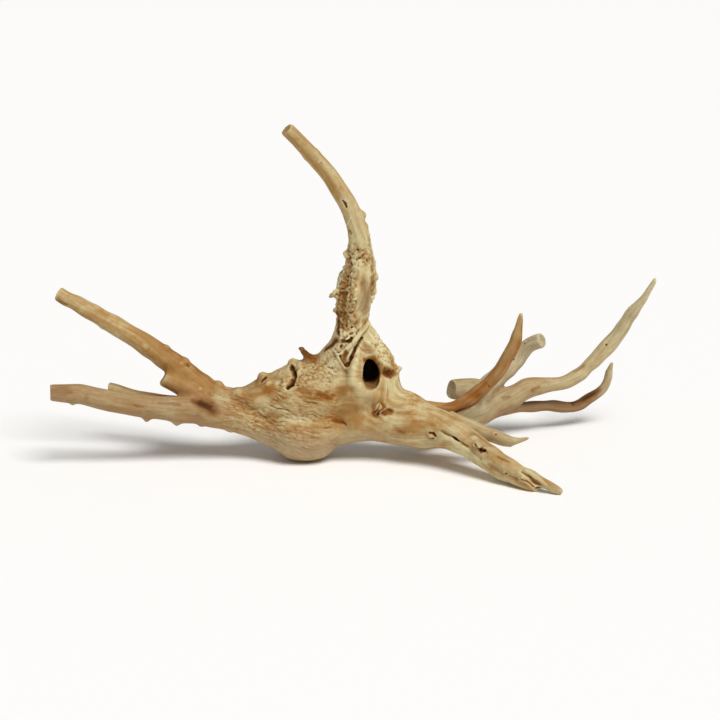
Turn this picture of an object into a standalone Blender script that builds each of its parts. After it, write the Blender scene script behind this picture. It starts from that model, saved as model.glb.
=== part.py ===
"""Spiderwood root: the knotted heart of an old root with an upright limb, four limbs to the left and
seven to the right. It grew as one piece, so it is one solid.

Frame: +Z up, +X along the root's length, origin on the floor under the middle of its outline. It lies
on three low spots round its weight: the toe of the front right limb, the belly of the heart and a
heel under the long right limb.

How it is made: each limb is a round tube along a smooth route, with a radius at each point. The tubes
and the knobs overlap, one voxel skin fuses them, hollows are cut out, strands are laid on, and a
second skin and a little smoothing round the joints, as growth does.
"""

import math

import bmesh
import bpy
import numpy as np
from mathutils import Matrix, Vector

# Driving dimensions, in millimetres
MM = 0.001
SKIN_VOXEL = 1.15
ROUTE_STEP = 2.5
LIMB_ROUNDING = 3
ROUNDING_LOSS = 0.4
HEART_ROUNDING = 14
HEART_MIDDLE = (-18, 2, 50)
HEART_REACH = (62, 34, 40)
RIPPLE_HEIGHT = 0.55
RIPPLE_SPACING = 6.0
RIPPLE_RADIUS = 22.0
RIPPLE_LENGTH = 13.0
RIPPLE_MIDDLE = (-40, 2, 45)
RIPPLE_REACH = (38, 40, 34)
SWELLING = 0.45
SWELLING_LENGTH = 24.0
CLEFT_DEPTH = 3.5
WARTS = 34
WART_RADII = (1.7, 2.7)
WART_SEED = 7
TRIANGLES = 11200
FLOOR_BLOCK = (500, 300, 40)
WOOD_COLOUR = (0.58, 0.40, 0.20, 1.0)
WOOD_ROUGHNESS = 0.62

# Routes: x, y, z of the pith and the limb's radius there
HEART = {
    "heart_upper": (
        (-97.5, 6, 40, 9.5), (-84.5, 5, 36.5, 10.5), (-72, 4, 36, 13.5), (-59, 3, 38.5, 18),
        (-45.5, 2, 41, 21.9), (-29, 2, 45, 23.2), (-12.5, 2, 50, 23.2), (4.5, 2, 54.5, 21.9),
        (10.5, 2, 63, 17.2),
    ),
    "heart_lower": (
        (-88.5, -3, 31.5, 9.9), (-75.5, -2, 28.5, 11.3), (-60, -1, 24.5, 14.6),
        (-46, -2, 22.5, 19.6), (-34, -3, 20.3, 21), (-19, 0, 26, 18), (-4.5, 1, 29, 18),
        (11, 1, 31, 18.6), (27.5, -1, 28.5, 18.6), (47.5, -10, 24.5, 13.9),
    ),
    "shoulder": (
        (-3, 3, 98, 7), (0, 3, 87, 10), (4.5, 3, 76, 11.5), (11.5, 3, 63.5, 12.8),
        (13.5, 2, 53, 13.8), (17, 1, 41.5, 13.8), (26, -1, 31, 13.8),
    ),
}
LIMBS = {
    "crown": (
        (-7, 2, 66, 20), (-5, 2, 78, 14), (-4, 2, 88, 11.5), (-4, 2, 97, 10.5), (-3, 2, 108, 11.5),
        (-1, 2, 118, 12), (1, 2, 129.5, 10), (1.5, 1, 141.5, 8.2), (-0.5, 0, 152, 6.8),
        (-3.5, -2, 164, 6.2), (-9.5, -5, 175.5, 6), (-15.5, -8, 186.5, 5.4),
        (-23.5, -11, 196.5, 4.8), (-37, -17, 215, 4.3), (-46, -20.5, 224.5, 4.2),
    ),
    "left_high": (
        (-84, 4, 33.5, 10.5), (-97.5, 6, 41.5, 8.7), (-109, 8, 50.5, 8.4), (-122, 10, 60.5, 7.8),
        (-135.5, 12, 71, 6.8), (-152, 14, 81.5, 6), (-172, 16, 93.5, 5.5), (-200, 18, 109, 4.6),
    ),
    "left_stub": (
        (-102, 2, 41, 8.5), (-112, 2, 46.5, 7), (-121, 1, 51, 5.6), (-129.5, 0, 55.5, 4.5),
    ),
    "left_low": (
        (-82, -2, 29.5, 11.3), (-92, -4, 32.5, 10.3), (-105, -6, 34.5, 9.2), (-121, -9, 36.5, 8.3),
        (-137, -12, 39, 7.4), (-153, -15, 42, 6.9), (-169.5, -17, 46, 6.5), (-185, -19, 50, 5.8),
        (-202, -21, 51, 5),
    ),
    "left_back": (
        (-102.5, 8, 35, 5.3), (-116.5, 14, 34.5, 3.7), (-130, 18, 35, 3.4), (-144, 21, 36.5, 3.4),
        (-157.5, 23, 39.5, 3.2), (-169.5, 25, 42, 3.2),
    ),
    "front_right": (
        (29, -4, 27, 14.5), (40.5, -9, 25, 15), (53.5, -16, 24.8, 12.3), (65, -26, 22.6, 10.1),
        (77.5, -37.5, 16.8, 8.5), (91, -50, 10.6, 7.9), (103, -61, 7.4, 6.6),
        (113.5, -68, 5.7, 5.3), (122.5, -74, 3.9, 3.5), (129, -78, 2, 1.9),
    ),
    "front_toe": (
        (100, -61, 6.5, 5), (107.5, -66.5, 4.6, 4.4), (114.5, -71, 2.6, 3.1),
    ),
    "spike": (
        (59.5, -6, 28, 6), (68.5, -10, 27, 4.6), (80, -14, 23, 4.6), (90, -17, 20, 4.3),
        (98.5, -19, 18, 3.4), (102, -20, 18, 2.3), (107, -20, 18.5, 1.7), (113, -20, 20.5, 1.1),
    ),
    "long_right": (
        (31, 6, 24.5, 13.4), (48, 16, 19, 9.4), (65.5, 30, 17.5, 7.8), (85, 40, 19.5, 7.7),
        (93.5, 44, 24.5, 7.1), (106, 49, 29, 7.2), (117.5, 53, 33.5, 6.9), (128.5, 56, 34.5, 5.3),
        (139, 59, 35, 4.5), (151, 62, 39, 4.5), (161.5, 64, 48.3, 4.5), (173.5, 65, 61.5, 5.4),
        (180.5, 64, 71, 4.6), (187.5, 62, 83.5, 4.2), (191.5, 60, 90.5, 3.4), (196, 58, 97.5, 2.2),
        (202.5, 56, 110.5, 1),
    ),
    "heel": (
        (60, 26, 17, 7), (69, 37, 9, 6), (74, 44, 2.5, 4.5),
    ),
    "horn": (
        (37.5, 6, 31.5, 6.7), (53, 8, 32, 4.2), (62.5, 11, 31.5, 4.2), (71.5, 13, 34.5, 4.4),
        (79.5, 14, 40.5, 4.7), (86.5, 14, 47.5, 4.1), (93.5, 13, 56, 4), (99, 12, 65.5, 4),
        (103.5, 11, 75, 4.3), (105.5, 10, 83.5, 3.4), (106.5, 9, 91, 2.5), (107.5, 8, 98, 1.2),
    ),
    "pale_branch": (
        (81.5, 40, 25.5, 5.5), (86, 44, 35, 6.3), (92, 48, 40, 6.3), (99, 52, 44.5, 6.5),
        (107, 55, 51.5, 6), (111.5, 56, 57.5, 5.5), (117.5, 54, 64, 4.9), (126, 49, 68.5, 4.9),
    ),
    "pale_stub": (
        (87, 44, 33, 6.8), (77.5, 38, 37, 7.2), (68, 32, 38.5, 6.8), (62, 29, 39.5, 6),
    ),
    "thin_right": (
        (76, 34, 17.5, 5.5), (90, 40, 18.5, 4.1), (102, 48, 19.5, 3.6), (115, 56, 19, 3.5),
        (129.5, 64, 17.5, 3.7), (151, 73, 14.3, 3.7), (161, 76, 19, 3.6), (169.5, 77, 24.5, 3.3),
        (173.5, 76, 31.5, 2.9), (175, 75, 39.5, 2.3), (176.8, 74, 46.5, 1.2),
    ),
}
# Balls half sunk in the limbs: x, y, z of the middle and the radius
KNOBS = (
    (-173.5, 14.5, 98.5, 2.8), (-128, 11, 72.5, 3.4), (-115.5, 9, 63.5, 3.9), (-93.5, 5, 48, 4.6),
    (-170, 15, 87, 2.5), (-143, 12, 71, 2.8), (-163, 9, 93.5, 2.2), (-141, 6, 75, 2.2),
    (-103, -4, 50, 2.8), (3.5, -3, 164, 3), (-26.5, -14, 208.5, 2.3), (-33, -15, 205, 2.3),
    (-7, 0, 138.5, 3), (-63, 0, 55.5, 4.5), (-78.5, 0, 43.5, 5), (27, 0, 62, 2.4),
    (47.5, -26.5, 23.7, 2.6), (47.5, 2, 34.5, 2.6), (53.7, 6, 32.8, 2.6), (74.5, -40, 26.5, 2.2),
    (100, -20, 15.5, 1.9), (136.5, 67, 19, 1.9), (-52, 20, 48, 5), (10, 19, 44, 6),
)
# Short thorns and spurs, as routes
SPURS = {
    "low_spur_1": ((-186.5, -20, 47, 3.5), (-187, -20, 42.5, 1)),
    "low_spur_2": ((-164.5, -17, 42, 4), (-164.5, -17, 37.5, 1)),
    "low_spur_3": ((-139, -13, 34, 4.5), (-139.5, -13, 28.5, 1.1)),
    "low_spur_4": ((-120, -10, 32, 6), (-120, -10, 25, 1.2)),
    "low_spur_5": ((-104.5, -6, 28, 5.5), (-104.5, -6, 23, 1.2)),
    "crown_thorn": ((-10, 0, 116, 4), (-15.5, -2, 113, 2.4), (-19.5, -4, 110.5, 0.9)),
    "crown_thorn_low": ((-12, -1, 102, 3), (-17, -3, 101.5, 0.9)),
    "heart_thorn": ((-33, 3, 66, 3.8), (-36, 1.5, 72, 2.5), (-40.5, 0, 78, 1.5)),
}
# Ellipsoids cut out: x, y, z of the middle, the three radii and the tilt about Y in degrees
HOLLOWS = {
    "eye": (8, -12, 62.5, 5.4, 15, 9.2, 0),
    "eye_side": (19, -10.5, 61, 4.2, 4.5, 3.6, 0),
    "recess": (-10.8, -13.5, 73.5, 2.3, 5, 6.2, 38),
    "crotch": (-99, -13.5, 38, 3.4, 4.5, 4.6, 0),
    "bud_socket": (80, -49.5, 20.5, 4, 3, 1.9, 25),
    "back_hollow": (-22, 25, 52, 7, 5, 4.5, 20),
}
# Narrow clefts cut out, as routes along the surface
CLEFTS = {
    "crevice": (
        (1.7, -9, 83.5, 1.2), (-1.2, -10.5, 80, 1.6), (-4.2, -12.9, 75.3, 1.7),
        (-5.7, -15.2, 70.8, 1.8), (-7, -16.5, 68, 1.4),
    ),
    "side_cleft": (
        (-45, -4, 64, 1.2), (-44.5, -9.5, 61.5, 1.9), (-44.5, -13.5, 57.5, 2), (-45.5, -16, 54, 1.2),
    ),
}
# Strands laid on after the hollows are cut, as routes
STRANDS = {
    "rib": (
        (9, 0, 95, 2), (6.5, -4, 91.5, 2.8), (0.8, -7.5, 86.5, 2.7), (-4.2, -10.5, 82, 2.5),
        (-10, -12.5, 77.5, 2.2), (-14, -11, 75.5, 1.8),
    ),
    "lip": (
        (-18, -7.5, 77, 1.8), (-14, -12, 74.8, 1.6), (-10.8, -14.8, 70.8, 1.5), (-7.7, -16.4, 67.3, 1.2),
    ),
    "bud": ((12.5, -14, 41, 2.6), (14.2, -17.5, 38, 2.9), (15.5, -17.5, 35.5, 1.8)),
    "socket_bud": ((75, -45, 24, 2.4), (79, -48, 21.8, 2.1)),
}


def clear_scene():
    for obj in list(bpy.data.objects):
        bpy.data.objects.remove(obj, do_unlink=True)


def added(name, data):
    obj = bpy.data.objects.new(name, data)
    bpy.context.collection.objects.link(obj)
    return obj


def smooth_route(points):
    """A Catmull-Rom curve through the points, with one row of x, y, z, radius about every step."""
    points = np.array(points, float)
    before = 2 * points[0] - points[1]
    after = 2 * points[-1] - points[-2]
    points = np.vstack([before, points, after])
    rows = []
    for a, b, c, d in zip(points, points[1:], points[2:], points[3:]):
        length = np.linalg.norm((c - b)[:3])
        t = np.arange(0, 1, 1 / max(2, round(length / ROUTE_STEP)))[:, None]
        rows.append(
            0.5 * (2 * b + (c - a) * t + (2 * a - 5 * b + 4 * c - d) * t**2
                   + (3 * b - a - 3 * c + d) * t**3)
        )
    rows.append(points[-2:-1])
    return np.vstack(rows)


def tube(name, points, extra=0.0):
    """A round tube with flat ends along the route, from a bevelled curve with a radius at each point."""
    rows = smooth_route(points)
    curve = bpy.data.curves.new(name, "CURVE")
    curve.dimensions = "3D"
    curve.bevel_depth = MM
    curve.bevel_resolution = 6
    curve.use_fill_caps = True
    spline = curve.splines.new("POLY")
    spline.points.add(len(rows) - 1)
    for point, (x, y, z, radius) in zip(spline.points, rows):
        point.co = (x * MM, y * MM, z * MM, 1)
        point.radius = radius + extra
    return settled(added(name, curve))


def ball(name, middle, radii, tilt=0.0):
    """An ellipsoid with its radii along X, Y and Z, then tilted about Y."""
    mesh = bpy.data.meshes.new(name)
    shape = bmesh.new()
    size = Matrix.Diagonal([radius * MM for radius in radii]).to_4x4()
    turn = Matrix.Rotation(math.radians(tilt), 4, "Y")
    place = Matrix.Translation(Vector(middle) * MM)
    bmesh.ops.create_icosphere(shape, subdivisions=3, radius=1.0, matrix=place @ turn @ size)
    shape.to_mesh(mesh)
    shape.free()
    return added(name, mesh)


def settled(obj):
    """The object's evaluated mesh as a plain object of its name, with every modifier applied."""
    bpy.context.view_layer.update()
    evaluated = obj.evaluated_get(bpy.context.evaluated_depsgraph_get())
    mesh = bpy.data.meshes.new_from_object(evaluated)
    name = obj.name
    bpy.data.objects.remove(obj, do_unlink=True)
    return added(name, mesh)


def joined(name, pieces):
    """The pieces' meshes as one mesh, still overlapping."""
    points = []
    faces = []
    start = 0
    for piece in pieces:
        block = vertex_points(piece.data)
        points.append(block)
        faces += [[start + v for v in polygon.vertices] for polygon in piece.data.polygons]
        start += len(block)
        bpy.data.objects.remove(piece, do_unlink=True)
    mesh = bpy.data.meshes.new(name)
    mesh.from_pydata(np.vstack(points), [], faces)
    return added(name, mesh)


def vertex_points(mesh):
    points = np.empty(len(mesh.vertices) * 3)
    mesh.vertices.foreach_get("co", points)
    return points.reshape(-1, 3)


def vertex_normals(mesh):
    normals = np.empty(len(mesh.vertices) * 3)
    mesh.vertex_normals.foreach_get("vector", normals)
    return normals.reshape(-1, 3)


def set_points(mesh, points):
    mesh.vertices.foreach_set("co", points.ravel())
    mesh.update()


def skinned(obj):
    """One voxel skin over everything that overlaps."""
    skin = obj.modifiers.new("Skin", "REMESH")
    skin.mode = "VOXEL"
    skin.voxel_size = SKIN_VOXEL * MM
    return settled(obj)


def nearness(points, middle, reach):
    """1 in the inner half of the ellipsoid, falling to 0 at its surface."""
    away = np.linalg.norm((points / MM - middle) / reach, axis=1)
    return np.clip(2 - 2 * away, 0, 1)


def faired(obj, strength, passes):
    """Each pass moves every point towards the mean of its neighbours, by its own strength."""
    mesh = obj.data
    ends = np.empty(len(mesh.edges) * 2, int)
    mesh.edges.foreach_get("vertices", ends)
    a, b = ends.reshape(-1, 2).T
    points = vertex_points(mesh)
    size = len(points)
    neighbours = np.bincount(a, minlength=size) + np.bincount(b, minlength=size)
    for _ in range(passes):
        total = np.stack(
            [np.bincount(a, points[b, k], size) + np.bincount(b, points[a, k], size) for k in range(3)],
            axis=1,
        )
        points += 0.5 * strength[:, None] * (total / neighbours[:, None] - points)
    set_points(mesh, points)


def cut(obj, cutters):
    for cutter in cutters:
        cutter.hide_render = True
        cutter.display_type = "WIRE"
        hollow = obj.modifiers.new(cutter.name, "BOOLEAN")
        hollow.operation = "DIFFERENCE"
        hollow.object = cutter
    obj = settled(obj)
    for cutter in cutters:
        bpy.data.objects.remove(cutter, do_unlink=True)
    return obj


def wart_places():
    """Seeded warts all round the rough lower stretch of the crown, more of them low down."""
    draw = np.random.default_rng(WART_SEED)
    rows = smooth_route(LIMBS["crown"])
    rough = rows[(rows[:, 2] > 82) & (rows[:, 2] < 158)]
    for turn in range(WARTS):
        x, y, z, radius = rough[int(len(rough) * draw.random() ** 1.3)]
        angle = turn * math.radians(137.5)
        yield (
            (x + radius * math.cos(angle), y + radius * math.sin(angle), z),
            draw.uniform(*WART_RADII),
        )


def floor_block():
    """A block whose top is the floor: it trims the three low spots flat."""
    mesh = bpy.data.meshes.new("floor")
    shape = bmesh.new()
    size = Matrix.Diagonal([side * MM for side in FLOOR_BLOCK]).to_4x4()
    place = Matrix.Translation((0, 0, -FLOOR_BLOCK[2] / 2 * MM))
    bmesh.ops.create_cube(shape, size=1.0, matrix=place @ size)
    shape.to_mesh(mesh)
    shape.free()
    return added("floor", mesh)


def cleft_cutters():
    """Each cleft is cut at its surface and once more deeper in."""
    for name, points in CLEFTS.items():
        for step in (0, CLEFT_DEPTH):
            yield tube(f"{name}_{step:g}", [(x, y + step, z, r) for x, y, z, r in points])


def relief(points):
    """Height in mm: broad swellings everywhere, and rows of bark ripples on the heart's left.

    The rows run along the root and their phase turns round its axis, so they close on themselves.
    """
    x, y, z = (points / MM).T
    length = SWELLING_LENGTH / math.tau
    swelling = np.sin(x / length + 2 * np.sin(z / length / 1.7))
    swelling *= np.cos(z / length / 1.3 + y / length / 1.6)
    middle = RIPPLE_MIDDLE
    turn = np.arctan2(z - middle[2], y - middle[1])
    along = x * math.tau / RIPPLE_LENGTH
    row_count = round(math.tau * RIPPLE_RADIUS / RIPPLE_SPACING)
    rows = np.sin(row_count * turn + 0.7 * np.sin(along / 1.6) + 0.4 * np.sin(along + 1))
    breaks = 0.6 + 0.4 * np.sin(along / 0.7 + 3 * turn)
    ripple = rows * breaks * nearness(points, middle, RIPPLE_REACH)
    return SWELLING * swelling + RIPPLE_HEIGHT * ripple


def wood_material():
    material = bpy.data.materials.new("wood")
    material.use_nodes = True
    shader = material.node_tree.nodes["Principled BSDF"]
    shader.inputs["Base Color"].default_value = WOOD_COLOUR
    shader.inputs["Roughness"].default_value = WOOD_ROUGHNESS
    shader.inputs["Metallic"].default_value = 0.0
    return material


def main():
    clear_scene()
    pieces = [tube(name, points) for name, points in {**HEART, **SPURS}.items()]
    pieces += [tube(name, points, ROUNDING_LOSS) for name, points in LIMBS.items()]
    pieces += [ball("knob", place, (radius,) * 3) for *place, radius in KNOBS]
    pieces += [ball("wart", place, (radius,) * 3) for place, radius in wart_places()]
    root = skinned(joined("root", pieces))
    faired(root, np.ones(len(root.data.vertices)), LIMB_ROUNDING)
    faired(root, nearness(vertex_points(root.data), HEART_MIDDLE, HEART_REACH), HEART_ROUNDING)

    hollows = [ball(name, v[:3], v[3:6], v[6]) for name, v in HOLLOWS.items()]
    root = cut(root, hollows + list(cleft_cutters()))
    strands = [tube(name, points) for name, points in STRANDS.items()]
    root = skinned(joined("root", [root] + strands))
    faired(root, np.ones(len(root.data.vertices)), LIMB_ROUNDING)

    mesh = root.data
    points = vertex_points(mesh)
    set_points(mesh, points + vertex_normals(mesh) * relief(points)[:, None] * MM)

    thin = root.modifiers.new("Thin", "DECIMATE")
    thin.ratio = TRIANGLES / (2 * len(mesh.polygons))
    root = settled(root)
    root = cut(root, [floor_block()])
    root.data.materials.append(wood_material())


main()
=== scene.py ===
# %% [markdown]
# # Dressing a spiderwood root
# Spiderwood is the root of an old mountain shrub. It is dug up, stripped of its bark and dried, and what
# is left is a knotted heart with thin limbs that wander off on both sides. This lesson builds one such
# root from numbers alone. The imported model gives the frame: where the root lies and how large it is.
# The steps are: carry a round profile along each limb's route, fuse all of it under one skin, work the
# surface of the wood into that skin, and finish it with a material that follows the fibres.

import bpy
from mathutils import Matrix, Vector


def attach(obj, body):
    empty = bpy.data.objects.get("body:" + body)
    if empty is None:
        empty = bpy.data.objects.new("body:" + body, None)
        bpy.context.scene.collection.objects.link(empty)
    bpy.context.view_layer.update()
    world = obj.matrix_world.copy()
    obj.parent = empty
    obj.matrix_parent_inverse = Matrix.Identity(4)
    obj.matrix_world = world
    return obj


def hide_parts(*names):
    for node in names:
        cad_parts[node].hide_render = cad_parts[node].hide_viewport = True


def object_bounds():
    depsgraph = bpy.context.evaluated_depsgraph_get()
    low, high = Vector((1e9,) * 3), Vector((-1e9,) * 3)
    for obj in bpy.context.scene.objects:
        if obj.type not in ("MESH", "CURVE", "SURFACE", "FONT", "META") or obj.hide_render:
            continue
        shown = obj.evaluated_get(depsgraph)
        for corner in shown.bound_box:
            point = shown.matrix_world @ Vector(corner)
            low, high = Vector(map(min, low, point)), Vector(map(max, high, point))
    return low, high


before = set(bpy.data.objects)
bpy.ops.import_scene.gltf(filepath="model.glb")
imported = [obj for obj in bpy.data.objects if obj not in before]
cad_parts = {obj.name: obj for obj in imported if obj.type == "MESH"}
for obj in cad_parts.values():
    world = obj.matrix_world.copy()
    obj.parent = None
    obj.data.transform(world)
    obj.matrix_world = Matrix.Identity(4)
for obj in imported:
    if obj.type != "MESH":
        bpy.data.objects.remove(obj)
cad_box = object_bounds()
print("the root's box in metres:", [tuple(round(v, 4) for v in corner) for corner in cad_box])

# %% Units and tools
import itertools
import math

import bpy
import numpy as np
from mathutils import Vector

MM = 0.001
print("one millimetre is", MM, "of Blender's metres")

# %% [markdown]
# ## The routes
# A limb is easiest to think of as its pith, the line through its middle, with a thickness at each point.
# Every route below is a short list of such points: x, y, z and the radius, all in millimetres, in the
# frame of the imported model. The heart is three thick limbs grown into each other. A root could also be
# sculpted by hand, but a route can be bent or thickened by one number, and it gives the same root again.

# %% Routes of the heart and the limbs
HEART = {
    "heart_upper": (
        (-97.5, 6, 40, 9.5), (-84.5, 5, 36.5, 10.5), (-72, 4, 36, 13.5), (-59, 3, 38.5, 18),
        (-45.5, 2, 41, 21.9), (-29, 2, 45, 23.2), (-12.5, 2, 50, 23.2), (4.5, 2, 54.5, 21.9),
        (10.5, 2, 63, 17.2),
    ),
    "heart_lower": (
        (-88.5, -3, 31.5, 9.9), (-75.5, -2, 28.5, 11.3), (-60, -1, 24.5, 14.6),
        (-46, -2, 22.5, 19.6), (-34, -3, 20.3, 21), (-19, 0, 26, 18), (-4.5, 1, 29, 18),
        (11, 1, 31, 18.6), (27.5, -1, 28.5, 18.6), (47.5, -10, 24.5, 13.9),
    ),
    "shoulder": (
        (-3, 3, 98, 7), (0, 3, 87, 10), (4.5, 3, 76, 11.5), (11.5, 3, 63.5, 12.8),
        (13.5, 2, 53, 13.8), (17, 1, 41.5, 13.8), (26, -1, 31, 13.8),
    ),
}
LIMBS = {
    "crown": (
        (-7, 2, 66, 20), (-5, 2, 78, 14), (-4, 2, 88, 11.5), (-4, 2, 97, 10.5), (-3, 2, 108, 11.5),
        (-1, 2, 118, 12), (1, 2, 129.5, 10), (1, 1, 141.5, 7.8), (0.5, 0, 150, 6.8),
        (-2.5, -1.5, 160.5, 5.9), (-6.5, -3.5, 171.5, 5.7), (-12.5, -6.5, 182.5, 5.4),
        (-19, -9.5, 193.5, 5), (-28, -13.5, 204.5, 4.7), (-37, -17, 215, 4.3),
        (-46, -20.5, 224.5, 4.2),
    ),
    "left_high": (
        (-84, 4, 33.5, 10.5), (-97.5, 6, 41.5, 8.7), (-109, 8, 50.5, 8.4), (-122, 10, 60.5, 7.8),
        (-135.5, 12, 71, 6.8), (-152, 14, 81.5, 6), (-172, 16, 93.5, 5.5), (-200, 18, 109, 4.6),
    ),
    "left_stub": (
        (-102, 2, 41, 8.5), (-112, 2, 46.5, 7), (-121, 1, 51, 5.6), (-129.5, 0, 55.5, 4.5),
    ),
    "left_low": (
        (-82, -2, 29.5, 11.3), (-92, -4, 32.5, 10.3), (-105, -6, 34.5, 9.2), (-121, -9, 36.5, 8.3),
        (-137, -12, 39, 7.4), (-153, -15, 42, 6.9), (-169.5, -17, 46, 6.5), (-185, -19, 50, 5.8),
        (-202, -21, 51, 5),
    ),
    "left_back": (
        (-102.5, 8, 35, 5.3), (-116.5, 14, 34.5, 3.7), (-130, 18, 35, 3.4), (-144, 21, 36.5, 3.4),
        (-157.5, 23, 39.5, 3.2), (-169.5, 25, 42, 3.2),
    ),
    "front_right": (
        (29, -4, 27, 14.5), (40.5, -9, 25, 15), (53.5, -16, 24.8, 12.3), (65, -26, 22.6, 10.1),
        (77.5, -37.5, 16.8, 8.5), (91, -50, 10.6, 7.9), (103, -61, 7.6, 6.6),
        (110, -66, 7.4, 5), (116.5, -70.5, 6.2, 3.5), (123, -74.5, 4.2, 2.6), (129, -78, 2.2, 1.5),
    ),
    "front_toe": (
        (100, -61, 6.5, 5), (107.5, -66.5, 4.6, 4.4), (114.5, -71, 2.6, 3.1),
    ),
    "spike": (
        (59.5, -6, 28, 6), (68.5, -10, 27, 4.6), (80, -14, 23, 4.6), (90, -17, 20, 4.3),
        (98.5, -19, 18, 3.4), (102, -20, 18, 2.3), (107, -20, 18.5, 1.7), (113, -20, 20.5, 1.1),
    ),
    "long_right": (
        (31, 6, 24.5, 13.4), (48, 16, 19, 9.4), (65.5, 30, 17.5, 7.8), (85, 40, 19.5, 7.7),
        (93.5, 44, 24.5, 7.1), (106, 49, 29, 7.2), (117.5, 53, 33.5, 6.9), (128.5, 56, 34.5, 5.3),
        (139, 59, 35, 4.5), (151, 62, 39, 4.5), (161.5, 64, 48.3, 4.5), (173.5, 65, 61.5, 5.4),
        (180.5, 64, 71, 4.6), (187.5, 62, 83.5, 4.2), (191.5, 60, 90.5, 3.4), (196, 58, 97.5, 2.2),
        (202.5, 56, 110.5, 1),
    ),
    "heel": (
        (60, 26, 17, 7), (69, 37, 9, 6), (74, 44, 2.5, 4.5),
    ),
    "horn": (
        (37.5, 6, 31.5, 6.7), (53, 8, 32, 4.2), (62.5, 11, 31.5, 4.2), (71.5, 13, 34.5, 4.4),
        (79.5, 14, 40.5, 4.7), (86.5, 14, 47.5, 4.1), (93.5, 13, 56, 4), (99, 12, 65.5, 4),
        (103.5, 11, 75, 4.3), (105.5, 10, 83.5, 3.4), (106.5, 9, 91, 2.5), (107.5, 8, 98, 1.2),
    ),
    "pale_branch": (
        (81.5, 40, 25.5, 5.5), (86, 44, 35, 6.3), (92, 48, 40, 6.3), (99, 52, 44.5, 6.5),
        (107, 55, 51.5, 6), (111.5, 56, 57.5, 5.5), (117.5, 54, 64, 4.9), (126, 49, 68.5, 4.9),
    ),
    "pale_stub": (
        (87, 44, 33, 6.8), (77.5, 38, 37, 7.2), (68, 32, 38.5, 6.8), (62, 29, 39.5, 6),
    ),
    "thin_right": (
        (76, 34, 17.5, 5.5), (90, 40, 18.5, 4.1), (102, 48, 19.5, 3.6), (115, 56, 19, 3.5),
        (129.5, 64, 17.5, 3.7), (151, 73, 14.3, 3.7), (161, 76, 19, 3.6), (169.5, 77, 24.5, 3.3),
        (173.5, 76, 31.5, 2.9), (175, 75, 39.5, 2.3), (176.8, 74, 46.5, 1.2),
    ),
}
KNOBS = (
    (-173.5, 14.5, 98.5, 2.8), (-128, 11, 72.5, 3.4), (-115.5, 9, 63.5, 3.9), (-93.5, 5, 48, 4.6),
    (-170, 15, 87, 2.5), (-143, 12, 71, 2.8), (2.8, -3, 165.5, 2.7), (-26.5, -14, 208.5, 2.3),
    (-33, -15, 205, 2.3),
    (-7, 0, 138.5, 3), (-63, 0, 55.5, 4.5), (-78.5, 0, 43.5, 5), (27, 0, 62, 2.4),
    (47.5, -26.5, 23.7, 2.6), (47.5, 2, 34.5, 2.6), (53.7, 6, 32.8, 2.6), (74.5, -40, 26.5, 2.2),
    (100, -20, 15.5, 1.9), (136.5, 67, 19, 1.9), (-52, 20, 48, 5), (10, 19, 44, 6),
    (-43.5, 1, 65.5, 4), (-28, 4, 68.5, 2.4),
)
SPURS = {
    "low_spur_1": ((-186.5, -20, 47, 3.5), (-187, -20, 42.5, 1)),
    "low_spur_2": ((-164.5, -17, 42, 4), (-164.5, -17, 37.5, 1)),
    "low_spur_3": ((-139, -13, 34, 4.5), (-139.5, -13, 28.5, 1.1)),
    "low_spur_4": ((-120, -10, 32, 6), (-120, -10, 25, 1.2)),
    "low_spur_5": ((-104.5, -6, 28, 5.5), (-104.5, -6, 23, 1.2)),
    "crown_thorn": ((-10, 0, 116, 4), (-15.5, -2, 113, 2.4), (-19.5, -4, 110.5, 0.9)),
    "crown_thorn_low": ((-12, -1, 102, 3), (-17, -3, 101.5, 0.9)),
    "heart_thorn": ((-31.5, 3, 66, 4), (-34.5, 1.5, 71, 3.1), (-39, 0, 77, 2.5)),
}
print(len(HEART) + len(LIMBS), "routes,", len(KNOBS), "knobs and", len(SPURS), "spurs")

# %% [markdown]
# ## From a route to a surface
# A few points don't make a smooth limb, so a Catmull-Rom curve runs through them: between two points b
# and c it is a cubic whose slope at b is half of c minus a, and at c half of d minus b. The radius is a
# fourth coordinate, and it is smoothed with the others.
#
# The surface is then a function of two parameters, how far along the limb and how far round it. Blender's
# own bevelled curves could do the same, but here the frame along the limb is needed again, because the
# fibres of the wood follow it.

# %% Smooth routes and their frames
ROUTE_STEP = 1.5
SIDE_AXIS = np.array([0.0, 1.0, 0.0])


def smooth_route(points):
    """Rows of x, y, z, radius about a step apart, on the Catmull-Rom curve through the points."""
    points = np.array(points, float)
    before = 2 * points[0] - points[1]
    after = 2 * points[-1] - points[-2]
    points = np.vstack([before, points, after])
    rows = []
    for a, b, c, d in zip(points, points[1:], points[2:], points[3:]):
        length = np.linalg.norm((c - b)[:3])
        t = np.arange(0, 1, 1 / max(2, round(length / ROUTE_STEP)))[:, None]
        rows.append(
            0.5 * (2 * b + (c - a) * t + (2 * a - 5 * b + 4 * c - d) * t**2
                   + (3 * b - a - 3 * c + d) * t**3)
        )
    rows.append(points[-2:-1])
    return np.vstack(rows)


def unit(vectors):
    """Each vector divided by its length."""
    return vectors / np.linalg.norm(vectors, axis=-1, keepdims=True)


def limb_frame(rows):
    """At each row: the tangent, then Y made square to it, then what is square to both."""
    tangent = unit(np.gradient(rows[:, :3], axis=0))
    side = unit(SIDE_AXIS - (tangent @ SIDE_AXIS)[:, None] * tangent)
    return tangent, side, np.cross(tangent, side)


print("the horn's", len(LIMBS["horn"]), "points give", len(smooth_route(LIMBS["horn"])), "rows")

# %% Surfaces on a grid
SIDES = 28
EGG_RINGS = 14
EGG_POLE = 0.1


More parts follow.
